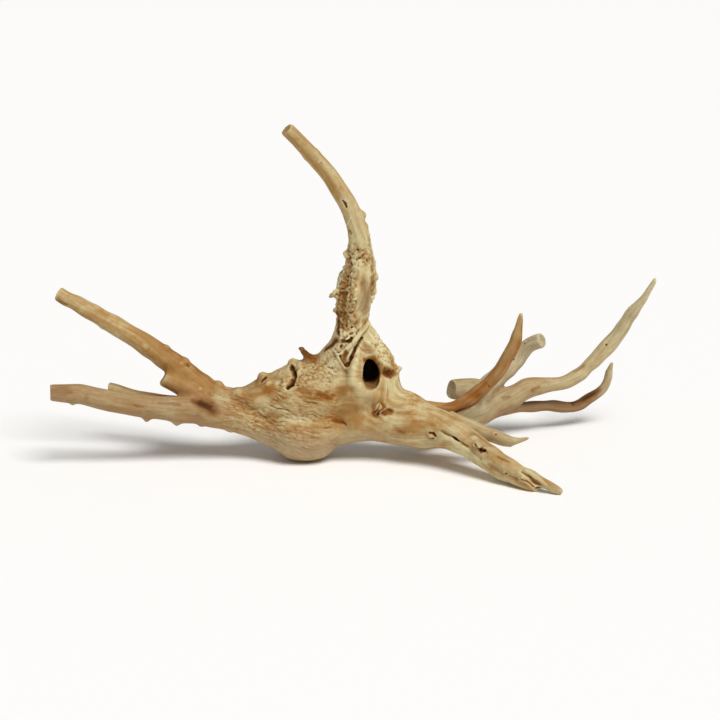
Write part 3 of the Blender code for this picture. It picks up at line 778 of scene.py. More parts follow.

# %% [markdown]
# ## Cracks
# Slits and cracks opened along the fibres as the root dried, and clefts are left where two limbs grew
# together without fusing. Each is a stroke with three numbers before it: how far the skin rises, here
# below zero, how far it is stained by dirt and resin, and how much warmer its wood is. In bud_shadow
# that stain is a painted shadow beside the bud. The shallowest are dents, scars and dark spots, where
# the wood has sunk a little.

# %% Places of the cracks
CRACKS = {
    "crown_slit": (
        -1.8, 0.95, 0.4, (-10, -11, 176.5, 0.4), (-8.5, -10, 174, 1.3), (-7.5, -9.5, 171.5, 0.8),
    ),
    "crevice": (
        -2.6, 1.0, 0.5, (2.5, -7.5, 84.5, 1.2), (0, -8.5, 81.5, 1.7), (-2.5, -10.5, 78, 1.2),
        (-5, -13.5, 72.5, 1.2), (-7, -16, 68.5, 2.0),
    ),
    "crevice_low": (-1.0, 1.0, 0.3, (-5, -13, 73, 1.4), (-6.5, -15.5, 69.5, 1.6), (-8, -16, 67.5, 2)),
    "plate_line": (
        -1.5, 0.75, 0.5, (-14, -12.5, 75.5, 0.9), (-11.5, -14.5, 73, 1), (-9.5, -16, 70, 1),
        (-8, -16.5, 67.5, 1.2),
    ),
    "under_strand": (-1.5, 0.7, 0.7, (-4.5, -11, 85, 1.2), (-5.5, -12, 84, 1.3), (-8, -13, 82.5, 1.2)),
    "under_strand_low": (-1.3, 0.65, 0.7, (-11.5, -13.5, 80, 1.2), (-13.5, -14, 78.5, 1.2)),
    "side_cleft": (
        -2.2, 0.85, 0.5, (-44.5, -4, 64.5, 1.6), (-42.5, -8.5, 62.5, 2.3), (-42, -12.5, 59.5, 1.6),
        (-43.5, -14.5, 55.5, 2.4), (-46, -16.5, 53, 1.4),
    ),
    "side_cleft_deep": (-1.0, 1.0, 0.3, (-43, -7, 63.5, 1.2), (-42, -11, 61, 1.2)),
    "side_cleft_low": (-1.0, 1.0, 0.3, (-43, -14, 57, 1.3), (-44.5, -15.5, 54.5, 1.3)),
    "eye_rim": (
        -0.2, 0.55, 0.8, (5, -12, 71, 1.8), (9.5, -11.5, 71.5, 2.2), (14, -11.5, 66, 2.8),
        (15, -11.5, 58, 2.6), (12.5, -14, 51.5, 1.8),
    ),
    "heart_crease": (-0.3, 0.75, 0.3, (-11, -16.5, 29, 0.7), (-9, -16.5, 28, 0.9)),
    "crown_knot_dark_1": (-0.9, 0.7, 0.4, (-0.5, -7.5, 143.5, 0.6), (0.5, -7.5, 142.5, 0.6)),
    "crown_knot_dark_2": (-0.9, 0.75, 0.4, (2.5, -7, 139.5, 0.7), (3.5, -7, 140.5, 0.5)),
    "crown_knot_dark_3": (-0.8, 0.7, 0.4, (5, -6.5, 136.5, 0.7), (6, -6.5, 135.5, 0.5)),
    "crown_dent": (-0.3, 0.26, 0.5, (-6, -5.5, 155, 1.3), (-5, -5.5, 153.5, 1.2)),
    "groove_pocket": (-1.1, 0.5, 0.6, (-9, -8.5, 114, 2.2)),
    "edge_dark_high": (
        -0.3, 0.75, 0.5, (-14, -3, 100, 2), (-13.5, -3.5, 94, 2.5), (-13, -5.5, 87.5, 2.5),
    ),
    "edge_dark_low": (-0.4, 0.7, 0.6, (-15, -7, 83, 3), (-19, -5, 79.5, 3), (-23, -3, 75.5, 2)),
    "low_hollow": (-1.4, 0.7, 0.4, (-10, -10, 82, 1.8), (-7.5, -10.5, 84, 1.3)),
    "knob_slit": (-1.3, 0.9, 0.4, (-64.5, -5, 54, 0.9), (-61, -4, 57, 1.1)),
    "bud_gap_1": (-0.8, 0.6, 0.6, (10, -16.5, 36.5, 0.7), (12, -20, 39, 0.8), (14, -17.5, 41.5, 0.6)),
    "bud_gap_2": (-0.8, 0.65, 0.6, (12.5, -17, 35, 0.7), (14, -20, 37.5, 0.8), (16.5, -17, 39.5, 0.6)),
    # A dent beside the bud, with painted shadow in it.
    "bud_shadow": (-1.2, 0.35, 0.8, (17, -16.5, 35.5, 1.8), (20, -17, 37.5, 2.6)),
    "low_streak": (-0.1, 0.3, -0.2, (-131, -17, 43, 1), (-124, -16, 42.5, 1.6), (-117, -16, 41.5, 1)),
    "high_knob_low": (-0.6, 0.3, 0.4, (-113, 4.5, 63, 1.6)),
    "high_end_dark": (-0.2, 0.45, 0.6, (-201, 16, 105, 2.4), (-197, 13, 103, 2.2), (-193, 12, 102, 1)),
    "low_end": (-0.2, 0.15, 0.5, (-201, -22, 52, 6), (-193, -22, 52, 5.5), (-188, -22, 51, 2.5)),
    "low_dash": (-0.1, 0.22, 0.2, (-147, -20, 42.5, 0.8), (-144, -20, 42, 1.5), (-141, -20, 41.5, 0.8)),
    "knot_dark": (-1.2, 0.75, 0.4, (46, -27.5, 26, 0.9), (48.5, -28, 25.5, 1.1), (50, -29, 24, 0.8)),
    "knot_low": (-0.8, 0.5, 0.4, (46, -27, 21.5, 0.8), (48.5, -28, 22, 0.8)),
    "front_slit": (-1.6, 0.9, 0.3, (60.5, -34.5, 25.5, 0.5), (62.5, -36, 24.5, 1.1), (65, -38, 23, 0.5)),
    "front_slit_tail": (-0.5, 0.2, 0.2, (55, -31, 27, 0.6), (60, -34.5, 25.5, 0.7), (70, -42, 21, 0.6)),
    "bud_dark": (
        -1.7, 0.9, 0.4, (75, -47.5, 24.5, 1), (76.5, -47.5, 22, 1.6), (78.5, -47, 20, 1.8),
        (81.5, -47, 19.5, 1.1),
    ),
    "front_scar": (
        -0.15, 0.15, 0.7, (89.5, -53.5, 17.5, 0.9), (92.5, -56.5, 16.5, 1.6), (96, -59, 16, 0.7),
    ),
    "end_crack_1": (-0.8, 0.5, 0.3, (105, -68, 8, 0.5), (108, -70.5, 6, 0.9), (111, -72.5, 4, 0.7)),
    "end_crack_2": (-0.6, 0.4, 0.3, (108, -69, 10.5, 0.4), (113.5, -72.5, 8, 0.6), (117, -74, 6.5, 0.4)),
    "end_pit": (-0.9, 0.5, 0.4, (113, -73.5, 3, 0.9), (115, -73.5, 2.5, 1.3)),
    "thin_dark": (-0.1, 0.32, -0.1, (150, 69, 21, 3), (158, 69, 25, 4), (164, 69, 30, 3)),
    "long_smudge_1": (-0.2, 0.2, 0.5, (124, 47.5, 35.5, 1.6), (119, 46.5, 33.5, 1.8)),
    "long_smudge_2": (-0.2, 0.18, 0.4, (99, 40.5, 30, 1.5), (103, 41, 30.5, 1.2)),
    "horn_spot": (-0.3, 0.5, 0.3, (87, 9.5, 47, 1.2)),
    "thin_spot": (-0.3, 0.5, 0.3, (149.5, 70, 16.5, 1.6)),
}
print(len(CRACKS), "cracks, slits and dents")

# %% [markdown]
# ## Knots and buds
# Knots are where a side root broke off and the wood closed over it. Buds are side roots that never grew
# out. They have the same numbers as the cracks, but the skin rises.

# %% Places of the knots and buds
KNOTS = {
    "crown_knot_1": (0.8, 0.25, 0.4, (0, -7.5, 144.5, 1.1)),
    "crown_knot_2": (0.9, 0.3, 0.5, (2, -7, 141, 1.5), (1, -7.5, 139.5, 1)),
    "crown_knot_3": (0.8, 0.35, 0.5, (5.5, -6.5, 138, 1.5), (7, -6, 136, 1)),
    "crown_scratch": (0.4, 0, -0.5, (-5, -7.5, 164, 0.7), (-7.5, -5, 159, 0.7)),
    "crown_knob_dark": (0.6, 0.45, 0.5, (-6, -3.5, 142, 2.2)),
    "crown_knob": (1.1, 0, 0.3, (-8, -2.5, 138, 2)),
    "bud_ridge": (0.8, 0.1, 0.5, (14, -17.5, 34.5, 0.8), (15.5, -19, 36.5, 1), (17, -16.5, 38.5, 0.9)),
    "high_knob": (0.7, 0, 0, (-117, 4, 65, 2.2)),
    "high_bump": (0.6, 0, 0, (-103, -6, 51, 2.2)),
    "high_knot": (0.5, 0.1, 0, (-164, 9, 93.5, 2.4)),
    "high_nub": (0.5, 0, 0, (-141, 6, 75, 2.2)),
    "low_knot": (0.4, 0.3, 0.3, (-177, -24, 49.5, 1.6)),
    "knot": (0.9, 0.1, 0.5, (47.5, -27, 23.5, 2.3)),
    "bud_light": (0.9, 0.16, 1.3, (76, -46, 25.5, 1.5), (78, -47.5, 23.5, 1.7), (80, -47.5, 22.5, 1.4)),
    "long_bump": (0.7, 0.1, 0.4, (127, 50.5, 31, 2)),
}
print(len(KNOTS), "knots and buds")

# %% [markdown]
# ## Tones
# Sun, soil and hands have coloured the root unevenly. These strokes leave the skin as it is. They only
# stain the wood and make it warmer, or paler where the second number is below zero. A few are painted
# light and shade instead: painted shade in the crotch, in the gap under the horn and down the panel,
# and painted light on shaded places at the long limb's base, under the front limb and on the stub's
# end face. The colours could be painted on an image instead, but that needs a UV map and is hard to
# change later.

# %% Places of the tones
TONES = {
    "groove_tone": (
        0.3, 0.9, (-7, -4, 136, 2.5), (-7, -5.5, 129, 3.5), (-9, -6, 122, 4), (-10.5, -6.5, 115, 4.5),
        (-10.5, -6.5, 101, 5), (-10, -8, 93, 4.5),
    ),
    "groove_base_tone": (0.14, 0.35, (-8, -9, 98, 5), (-1, -9, 97, 4), (4, -8, 96, 3)),
    "recess_tone": (0.5, 0.9, (-8, -14, 76, 2.4), (-9, -15, 72.5, 2.4), (-8, -16.5, 69, 1.8)),
    "heart_crease_tone": (0.3, 0.8, (-15, -17.5, 31, 2.6), (-11, -16.5, 29, 2.6)),
    "panel_edge_brown": (0.35, 0.5, (8.5, -5.5, 124, 2.6), (9.5, -5, 119, 3.2), (9, -5, 114, 2.4)),
    "crevice_stain": (0.3, 0.9, (-2.5, -12.5, 72, 2), (-4.5, -15.5, 67, 2.4)),
    "side_hollow_tone": (0.72, 1.6, (18, -7, 60.5, 4.4), (21, -5, 60, 3.4)),
    "heart_gold": (0, 0.15, (-17, -20, 45, 7), (-12.5, -18, 36, 9), (-13.5, -16.5, 27, 8)),
    "brown_spot": (0.2, 0.5, (24, -19, 27, 1.4), (26.5, -19, 25, 2.4), (29.5, -20.5, 24, 1.3)),
    "bud_tone": (0.33, 1.3, (11, -16, 36.5, 3.2), (15, -17, 40, 3.2)),
    # Painted shade in the crotch at the lower left limb's root, a little warm.
    "crotch_painted_shade": (0.42, 0.3, (-109, -10, 41, 4), (-101, -10, 39, 7), (-96, -12, 36, 5.5)),
    "crotch_deep_painted_shade": (0.62, 0.2, (-104, -10, 40, 4.5), (-98, -10, 38, 5.5)),
    "front_warm": (0.1, 0.4, (36, -22, 31, 2.5), (43, -24, 31, 3.5), (49, -26, 30.5, 2)),
    "lip_pale": (0, -0.4, (-2.5, -15, 70, 4), (-3, -17, 62, 4), (0, -19.5, 54, 4.5)),
    # Painted light on the shaded underside of the front limb.
    "front_low_painted_light": (0, -0.5, (60, -36, 17, 4), (74, -46, 16, 4.5), (84, -52, 13, 3)),
    "eye_pale": (0, -0.5, (20, -11, 53, 6), (28, -8, 48, 6)),
    # Painted shade: a shaded band down the smooth panel.
    "panel_shade": (0.34, 0.4, (4.5, -9, 122, 4), (6, -8, 113, 5), (5.5, -8, 104, 5)),
    "knots_tone": (0.16, 0.6, (-2, -7, 142, 5), (6, -6, 138, 5)),
    "edge_tone": (0.16, 0.5, (9, -4, 150, 3), (11, -4, 140, 3.5), (12, -4, 128, 3.5), (11, -4, 116, 3)),
    "beads_tone": (
        0.22, 0.7, (-3, -8.5, 130, 2.5), (-4, -10, 116, 3.2), (-3, -9.5, 104, 3), (-3, -9, 97, 3),
    ),
    "heart_middle": (0.03, 0.35, (-4, -19, 46, 5), (-3, -17, 38, 7), (-2, -16, 30, 7)),
    "valley_warm": (0.1, 0.2, (-10, -19, 57, 4), (-9.5, -19, 50, 5)),
    "thorn_tone": (0.36, 0.6, (-18, -5, 111.5, 4), (-16, -4, 102, 3)),
    # Painted light at the long limb's base, which lies in shade.
    "long_base_painted_light": (0, -0.5, (79, 29.5, 21, 6)),
    "panel_foot_pale": (0, -0.5, (1, -8.5, 98, 3.5)),
    "junction_pale": (0, -0.7, (-90, -8, 46, 7)),
    "lip_low": (0.1, 0.15, (6, -18.5, 48, 4), (9.5, -16.5, 46.5, 4.5)),
    "left_gold": (0.04, 0.7, (-59.5, -12.5, 49.5, 5), (-54.5, -16.5, 48, 6), (-49, -18.5, 47, 4.5)),
    "ripple_brown": (0.14, 0.4, (-38, -18.5, 53, 4), (-31, -21, 49.5, 5), (-26, -21, 48, 4)),
    "heart_patch": (0.25, 0.9, (-25, -21.5, 49, 2.5), (-22.5, -21.5, 48.5, 3.5), (-18.5, -21, 46.5, 2.5)),
    # The stub's end face: paler cut wood, and painted light on a face turned from the light.
    "stub_face_painted_light": (0, -1.5, (60.5, 28, 40, 7)),
    # Painted light at the long limb's base, in the shade under the horn.
    "base_painted_light": (0, -0.8, (72, 26, 18, 5), (79, 29.5, 21, 6), (86, 32, 25, 5)),
    "above_eye_warm": (0.08, 0.3, (3, -9, 80, 4), (8, -9, 76, 4)),
    "knob_warm": (0.18, 0.3, (-64, -4, 54, 6)),
    "front_shade": (0.22, 0.3, (74.5, -35, 28, 4), (79, -37.5, 26, 4), (86, -44, 24, 4)),
    "front_root_shade": (0.1, 0.3, (32, -19, 27, 5), (42, -22, 27, 5)),
    "long_smudge_3": (0.12, 0.6, (149, 58, 46, 1.8), (153, 58, 49.5, 2)),
    "horn_base_tone": (0.12, 1.5, (57, 5, 31, 5), (72, 9, 35, 6), (84, 11, 45, 4)),
    # Painted shadow in the gap between the horn and the long limb.
    "horn_gap_painted_shadow": (0.8, 0.2, (60, 4, 26.5, 1.6), (71, 8, 31, 1.9), (81, 11, 36, 1.6)),
    "heart_thorn_tone": (0.5, 0.8, (-32, 0, 69, 6.5), (-35, 0, 73, 6), (-39, 0, 77, 4.5)),
}
print(len(TONES), "tones")

# %% [markdown]
# ## Pits
# A pit is where a fine side root died or a beetle went in. It is a stroke of one point, torn at its edge,
# with a rim that is raised on its upper left.

# %% Places of the pits
PITS = {
    "crown_high_pit": (-24.5, -16.5, 202, 0.6),
    "groove_pit": (-7, -5.5, 125, 1.2),
    "groove_hole": (-10.5, -6.5, 109, 1.0),
    "low_pit_1": (-8, -8, 92.5, 1.1),
    "low_pit_2": (-4.5, -8.5, 92, 1.0),
    "low_pit_3": (-12.5, -6, 87.5, 1.6),
    "low_pit_4": (-5, -9, 87, 1.0),
    "front_spot": (94.5, -61.5, 9, 0.9),
    "spike_spot": (90.5, -20.5, 22.5, 0.8),
    "far_notch": (184.5, 62, 91, 0.9),
    "long_dot": (170, 60.5, 62.5, 0.9),
    "stub_dot": (73.5, 27.5, 37.5, 1.0),
    "pale_dot_1": (118, 50.5, 69.5, 0.8),
    "pale_dot_2": (113.5, 51, 65.5, 0.8),
    "pale_dot_3": (105.5, 48, 56, 0.8),
}
print(len(PITS), "pits")

# %% Work the marks into the skin
PIT_DEPTH = 1.2
PIT_RIM = 0.5
PIT_STAIN = 0.42
PIT_RAGGED = 1.8
PIT_TEAR = (1.2, 18)
STREAKS = ((7, 1.6, 1.6), 14)

marks = [*CRACKS.values(), *KNOTS.values(), *((0, *tone) for tone in TONES.values())]
normals = normals_of(root.data)
height = np.zeros(len(points))
stain_and_shade = np.zeros(len(points))
warmer_and_painted_light = np.zeros(len(points))
streaky = np.clip(0.9 + 0.4 * noise(grain, *STREAKS), 0, 1)
# Most marks stain the wood with dirt and resin, but in the crotch, the horn's gap, the panel and beside the
# bud that stain is painted shade. A warmth below zero makes the wood paler, and at the long limb's base,
# under the front limb and on the stub's end face that is painted light.
for rise, stained_and_shaded, warmed_and_painted_light, *rows in marks:
    near = stroke(points, rows, ragged)
    height += rise * near
    stain_and_shade = np.maximum(stain_and_shade, stained_and_shaded * near * streaky)
    warmer_and_painted_light += warmed_and_painted_light * near * streaky
torn = PIT_RAGGED * noise(points, *PIT_TEAR)
for x, y, z, reach in PITS.values():
    hole = stroke(points, [(x, y, z, reach)], torn)
    rim = stroke(points, [(x - reach, y, z + reach, 2.2 * reach)], ragged)
    height += PIT_RIM * rim - PIT_DEPTH * hole
    stain_and_shade = np.maximum(stain_and_shade, PIT_STAIN * hole)
points = points + normals * height[:, None]
points[:, 2] = np.maximum(points[:, 2], 0)
place_points(root.data, points)
print("marks and pits from", height.min().round(2), "to", height.max().round(2), "mm")

# %% [markdown]
# ## Where it is worn, and where it is hollow
# Handling polishes what stands out, and what lies deep keeps its brown. The material adds to both: a
# painted highlight on the crests and painted shade in the hollows. Both come from one measure: how far
# a point lies below the mean of the points round it. A few passes of easing give that mean for narrow
# cracks, and many passes for broad hollows. The insides of the hollows that were cut out are stained
# too, and the eye gets painted shade that darkens it the deeper it goes.

# %% Hollowness
NARROW_PASSES = 8
WIDE_PASSES = 60

mesh = root.data
normals = normals_of(mesh)
near_mean = eased(mesh, points, 1.0, NARROW_PASSES)
wide_mean = eased(mesh, near_mean, 1.0, WIDE_PASSES)
narrow_hollow = ((near_mean - points) * normals).sum(1)
wide_hollow = ((wide_mean - points) * normals).sum(1)
print("hollows to", narrow_hollow.max().round(2), "and", wide_hollow.max().round(2), "mm")

# %% Stain in the hollows, with painted shade deeper in the eye
HOLLOW_STAIN = 0.45
DEEPEST_STAIN_AND_SHADE = 0.9
CAVE_MOUTH = (-9, 3)
HOLLOW_MARGIN = 0.12


def inside(points, middle, radii, tilt):
    """1 within the ellipsoid, 0 outside its margin, which is counted in its radii."""
    cos, sin = math.cos(math.radians(tilt)), math.sin(math.radians(tilt))
    away = (points - middle) @ np.array([[cos, 0, -sin], [0, 1, 0], [sin, 0, cos]])
    reach = np.linalg.norm(away / radii, axis=1)
    return 1 - eased_step(reach, 1, 1 + HOLLOW_MARGIN)


for name, egg in HOLLOWS.items():
    # Deeper into the eye, behind its mouth, the wood darkens towards near black: that is painted shade.
    depth = eased_step(points[:, 1], *CAVE_MOUTH) if name.startswith("eye") else 0
    stain_and_shade = np.maximum(stain_and_shade, inside(points, *egg) * (HOLLOW_STAIN + (DEEPEST_STAIN_AND_SHADE - HOLLOW_STAIN) * depth))
print("stained by more than half:", int((stain_and_shade > 0.5).sum()), "points")

# %% [markdown]
# ## Tone of each limb
# No two limbs of a dried root have the same colour. Those that lay in the sun are pale or grey, and those
# that kept some of their inner bark are warm. So each limb has three numbers: its warmth, its greyness and
# its patina, which is a thin even stain. Some change along the limb, between two places on one axis. The
# share of each limb in each point, found with the grain, carries them over the joints, and easing blends
# them like water marks.

# %% Tone of each limb
WARMTH = {
    "heart_upper": 0.55, "heart_lower": 0.75, "shoulder": 0.2, "crown": 0.15, "left_high": 0.7,
    "left_stub": 1.0, "left_low": 0.8, "left_back": 0.8, "front_right": 0.35, "front_toe": 0.4,
    "spike": 0.5, "long_right": 0.3, "heel": 0.5, "horn": 1.2, "pale_branch": -0.1, "pale_stub": 0.5,
    "thin_right": 1.2,
}
GREYNESS = {
    "left_low": 0.3, "long_right": 0.2, "pale_branch": 0.6, "pale_stub": 0.35, "thin_right": 0.35,
    "spike": 0.3,
}
PATINA = {
    "heart_upper": 0.05, "heart_lower": 0.05, "left_high": 0.04, "left_stub": 0.07, "left_low": 0.18,
    "left_back": 0.04, "front_right": 0.03, "spike": 0.1, "pale_stub": 0.2, "thin_right": 0.33,
    "pale_branch": 0.12, "long_right": 0.03, "shoulder": 0.01, "crown": 0.02,
}
X, Z = 0, 2
# What changes along a limb: the value, the limb, the axis, from and to in mm, and by how much
ALONG = (
    ("warmth", "crown", Z, 150, 200, 0.55), ("warmth", "left_high", X, -175, -130, 0.15),
    ("warmth", "long_right", X, 160, 185, -0.3), ("warmth", "horn", Z, 70, 95, -0.5),
    ("warmth", "thin_right", X, 165, 171, -0.8), ("greyness", "heart_lower", Z, 30, 16, 0.4),
    ("greyness", "heart_upper", Z, 30, 16, 0.4), ("greyness", "long_right", X, 165, 190, 0.2),
    ("patina", "long_right", X, 88, 104, 0.12), ("patina", "long_right", X, 140, 165, -0.12),
    ("patina", "left_high", X, -160, -120, 0.09), ("patina", "front_right", X, 112, 124, 0.14),
    ("patina", "crown", Z, 195, 215, 0.06), ("patina", "thin_right", X, 165, 171, -0.25),
    # Towards the pale stub's end its patina falls away: painted light on the shaded end face.
    ("patina", "pale_stub", X, 65, 59, -0.14),
)
HORN_FOOT = (48, 58)
HORN_FOOT_TOP = (36, 62)
HORN_FOOT_WARMTH = 0.6
PLATE_PATINA = 0.05
HEART_FIBRELESS = 0.7
TONE_PASSES = 60

tones = {
    kind: sum(share[name] * value for name, value in each.items())
    for kind, each in (("warmth", WARMTH), ("greyness", GREYNESS), ("patina", PATINA))
}
for kind, limb, axis, start, end, change in ALONG:
    tones[kind] += change * share[limb] * eased_step(points[:, axis], start, end)
x, y, z = points.T
horn_foot = eased_step(x, *HORN_FOOT) * (1 - eased_step(z, *HORN_FOOT_TOP))
tones["warmth"] += HORN_FOOT_WARMTH * share["horn"] * horn_foot
tones["patina"] += PLATE_PATINA * plated
warmth_and_painted_light, grey, patina = eased(mesh, np.stack([*tones.values()], axis=1), 1.0, TONE_PASSES).T
# The marks' warmth below zero brings in the painted light on a few shaded places.
warmth_and_painted_light += warmer_and_painted_light
stain_and_shade = np.clip(stain_and_shade + patina, 0, 1)
fibreless = np.maximum(1 - smooth, HEART_FIBRELESS * sum(share[name] for name in HEART))
print("warmth from", warmth_and_painted_light.min().round(2), "to", warmth_and_painted_light.max().round(2))

# %% [markdown]
# ## Fewer faces
# The skin has half a million triangles so far, and most of them lie on smooth limbs. Decimate merges those
# first and keeps the plates and cracks. Before that, all that was measured is written to the mesh as
# attributes, which the modifier carries along and the material reads.

# %% Attributes
ATTRIBUTES = {
    "stain_and_shade": stain_and_shade, "narrow_hollow": narrow_hollow, "wide_hollow": wide_hollow,
    "warmth_and_painted_light": warmth_and_painted_light, "grey": grey, "fibreless": fibreless,
}
for name, values in ATTRIBUTES.items():
    mesh.attributes.new(name, "FLOAT", "POINT").data.foreach_set("value", values.astype(np.float32))
grain_data = mesh.attributes.new("grain", "FLOAT_VECTOR", "POINT").data
grain_data.foreach_set("vector", grain.astype(np.float32).ravel())
print("attributes:", ", ".join([*ATTRIBUTES, "grain"]))

# %% Fewer faces
THINNING = 0.38

thin = root.modifiers.new("Thin", "DECIMATE")
thin.ratio = THINNING
thin.use_collapse_triangulate = True
root = settled(root)
mesh = root.data
points = points_of(mesh)
low, high = (np.array(corner) / MM for corner in cad_box)
place_points(mesh, np.clip(points, low, high))
mesh.shade_smooth()
print(len(mesh.polygons), "triangles are left")

# %% [markdown]
# ## The wood
# Dry root wood is pale straw where it is worn, warm tan where it isn't, and brown in its clefts. On top
# of that, crests get a painted highlight and clefts painted shade. It has no coat, so it is matt, and no
# two spots shine alike. A photograph of wood could be wrapped round it, but its grain wouldn't follow
# the limbs. Here the fibres are drawn by noise that is stretched along the grain coordinates. Their real
# spacing, under half a millimetre, is too fine to show from a step away, so they are drawn about a
# millimetre apart.

# %% Colours
def linear(hex_colour):
    """The linear value of an sRGB hex colour, channel by channel."""
    channels = [int(hex_colour[i:i + 2], 16) / 255 for i in (1, 3, 5)]
    return [c / 12.92 if c <= 0.04045 else ((c + 0.055) / 1.055) ** 2.4 for c in channels] + [1.0]


STRAW = linear("#ddd2a2")
TAN = linear("#b28a50")
ORANGE = linear("#975606")
GREY = linear("#9c8e77")
CREAM = linear("#d6d0b4")
BROWN = linear("#6b3b0a")
DARK = linear("#1c0c04")
print("straw in linear light:", [round(value, 2) for value in STRAW[:3]])


# %% Start the wood material
def add(tree, kind, inputs=None, output=0, **settings):
    """Adds a node with its settings and gives back one output. An input is a value or another output."""
    made = tree.nodes.new(kind)
    for name, value in settings.items():
        setattr(made, name, value)
    for socket, value in (inputs or {}).items():
        if isinstance(value, bpy.types.NodeSocket):
            tree.links.new(value, made.inputs[socket])
        else:
            made.inputs[socket].default_value = value
    return made.outputs[output] if len(made.outputs) else made


wood = bpy.data.materials.new("dried_root_wood")
wood.use_nodes = True
tree = wood.node_tree
tree.nodes.clear()
skin = {name: add(tree, "ShaderNodeAttribute", output="Fac", attribute_name=name) for name in ATTRIBUTES}
along_grain = add(tree, "ShaderNodeAttribute", output="Vector", attribute_name="grain")
place = add(tree, "ShaderNodeTexCoord", output="Object")
print(wood.name, "reads", len(skin) + 1, "attributes")

# %% [markdown]
# ## Patterns in the wood
# Fibres and streaks follow the grain coordinates, which are in millimetres. They are long along the limb
# and narrow across it. Blotches, mottling and crumbs don't follow the grain. They are laid out by the
# object's own coordinates, which are in metres.

# %% Patterns in the wood
FIBRE_SIZE = (22, 1.1, 1.1)
STREAK_SIZE = (55, 5, 5)
BLOTCH_SIZE = 19
MOTTLE_SIZE = 3.5
CRUMB_SIZE = 0.9

fine = add(tree, "ShaderNodeMapping", {"Vector": along_grain, "Scale": [1 / v for v in FIBRE_SIZE]})
fibres = add(tree, "ShaderNodeTexNoise", {"Vector": fine, "Scale": 1.0, "Detail": 4.0, "Roughness": 0.7})
broad = add(tree, "ShaderNodeMapping", {"Vector": along_grain, "Scale": [1 / v for v in STREAK_SIZE]})
streaks = add(tree, "ShaderNodeTexNoise", {"Vector": broad, "Scale": 1.0, "Detail": 3.0})
blotches, mottle, crumbs = (
    add(tree, "ShaderNodeTexNoise", {"Vector": place, "Scale": 1 / (size * MM), "Detail": detail})
    for size, detail in ((BLOTCH_SIZE, 3.0), (MOTTLE_SIZE, 2.0), (CRUMB_SIZE, 3.0))
)
print("fibres are", FIBRE_SIZE[1], "mm wide and streaks", STREAK_SIZE[1], "mm")

# %% [markdown]
# ## Colour of the bare wood
# The tone is the warmth + 2 * streaks + 1.3 * blotches + 0.6 * mottle, so its mean is the warmth + 1.95.
# It runs from straw over tan to orange. Greyed wood goes from grey to cream by its streaks instead, and
# dark fibres lie over both, fainter where the wood is rough and shows none.

# %% Colour of the bare wood
TONE_STEPS = (1.95, 2.75, 3.55)

tone = add(tree, "ShaderNodeMath", {0: streaks, 1: 2.0, 2: skin["warmth_and_painted_light"]}, operation="MULTIPLY_ADD")
tone = add(tree, "ShaderNodeMath", {0: blotches, 1: 1.3, 2: tone}, operation="MULTIPLY_ADD")
tone = add(tree, "ShaderNodeMath", {0: mottle, 1: 0.6, 2: tone}, operation="MULTIPLY_ADD")
colour = STRAW
for start, end, next_colour in zip(TONE_STEPS, TONE_STEPS[1:], (TAN, ORANGE)):
    reached = add(tree, "ShaderNodeMapRange", {"Value": tone, "From Min": start, "From Max": end})
    colour = add(tree, "ShaderNodeMix", {0: reached, 6: colour, 7: next_colour}, 2, data_type="RGBA")
to_cream = add(tree, "ShaderNodeMapRange", {"Value": streaks, "From Min": 0.4, "From Max": 0.6})
bleached = add(tree, "ShaderNodeMix", {0: to_cream, 6: GREY, 7: CREAM}, 2, data_type="RGBA")
colour = add(tree, "ShaderNodeMix", {0: skin["grey"], 6: colour, 7: bleached}, 2, data_type="RGBA")

strength = add(tree, "ShaderNodeMapRange", {"Value": skin["fibreless"], "To Min": 0.52, "To Max": 0.14})
thread = add(tree, "ShaderNodeMapRange", {"Value": fibres, "From Min": 0.62, "From Max": 0.35})
thread = add(tree, "ShaderNodeMath", {0: thread, 1: strength}, operation="MULTIPLY")
darker = add(tree, "ShaderNodeMix", {0: 0.5, 6: TAN, 7: BROWN}, 2, data_type="RGBA")
colour = add(tree, "ShaderNodeMix", {0: thread, 6: colour, 7: darker}, 2, data_type="RGBA")
print("bare wood:", len(tree.nodes), "nodes so far")

# %% [markdown]
# ## Wear, dirt and painted shade
# Crests are worn pale by hands and get a painted highlight, and hollows keep their brown with painted
# shade over it. The narrow measure finds the cracks and the wide one the bays between limbs. Dirt and
# old resin turn the wood brown first and then nearly black, and the same two steps carry the painted
# shade of the eye, the crotch, the panel and the gaps.

# %% Wear, dirt and painted shade
# Crests turn paler: wear, and a painted highlight.
worn_and_highlit = add(tree, "ShaderNodeMapRange", {
    "Value": skin["narrow_hollow"], "From Min": -0.02, "From Max": -0.25, "To Min": 0.0, "To Max": 0.55,
})
colour = add(tree, "ShaderNodeMix", {0: worn_and_highlit, 6: colour, 7: STRAW}, 2, data_type="RGBA")
# Cracks and bays turn brown: the wood's own brown, and painted shade where less light reaches.
cracks = add(tree, "ShaderNodeMapRange", {
    "Value": skin["narrow_hollow"], "From Min": 0.0, "From Max": 0.28, "To Min": 0.0, "To Max": 0.85,
})
bays_brown_and_shade = add(tree, "ShaderNodeMapRange", {
    "Value": skin["wide_hollow"], "From Min": 0.4, "From Max": 2.4, "To Min": 0.0, "To Max": 0.35,
})
hollow = add(tree, "ShaderNodeMath", {0: cracks, 1: bays_brown_and_shade}, operation="MAXIMUM")
colour = add(tree, "ShaderNodeMix", {0: hollow, 6: colour, 7: BROWN}, 2, data_type="RGBA")
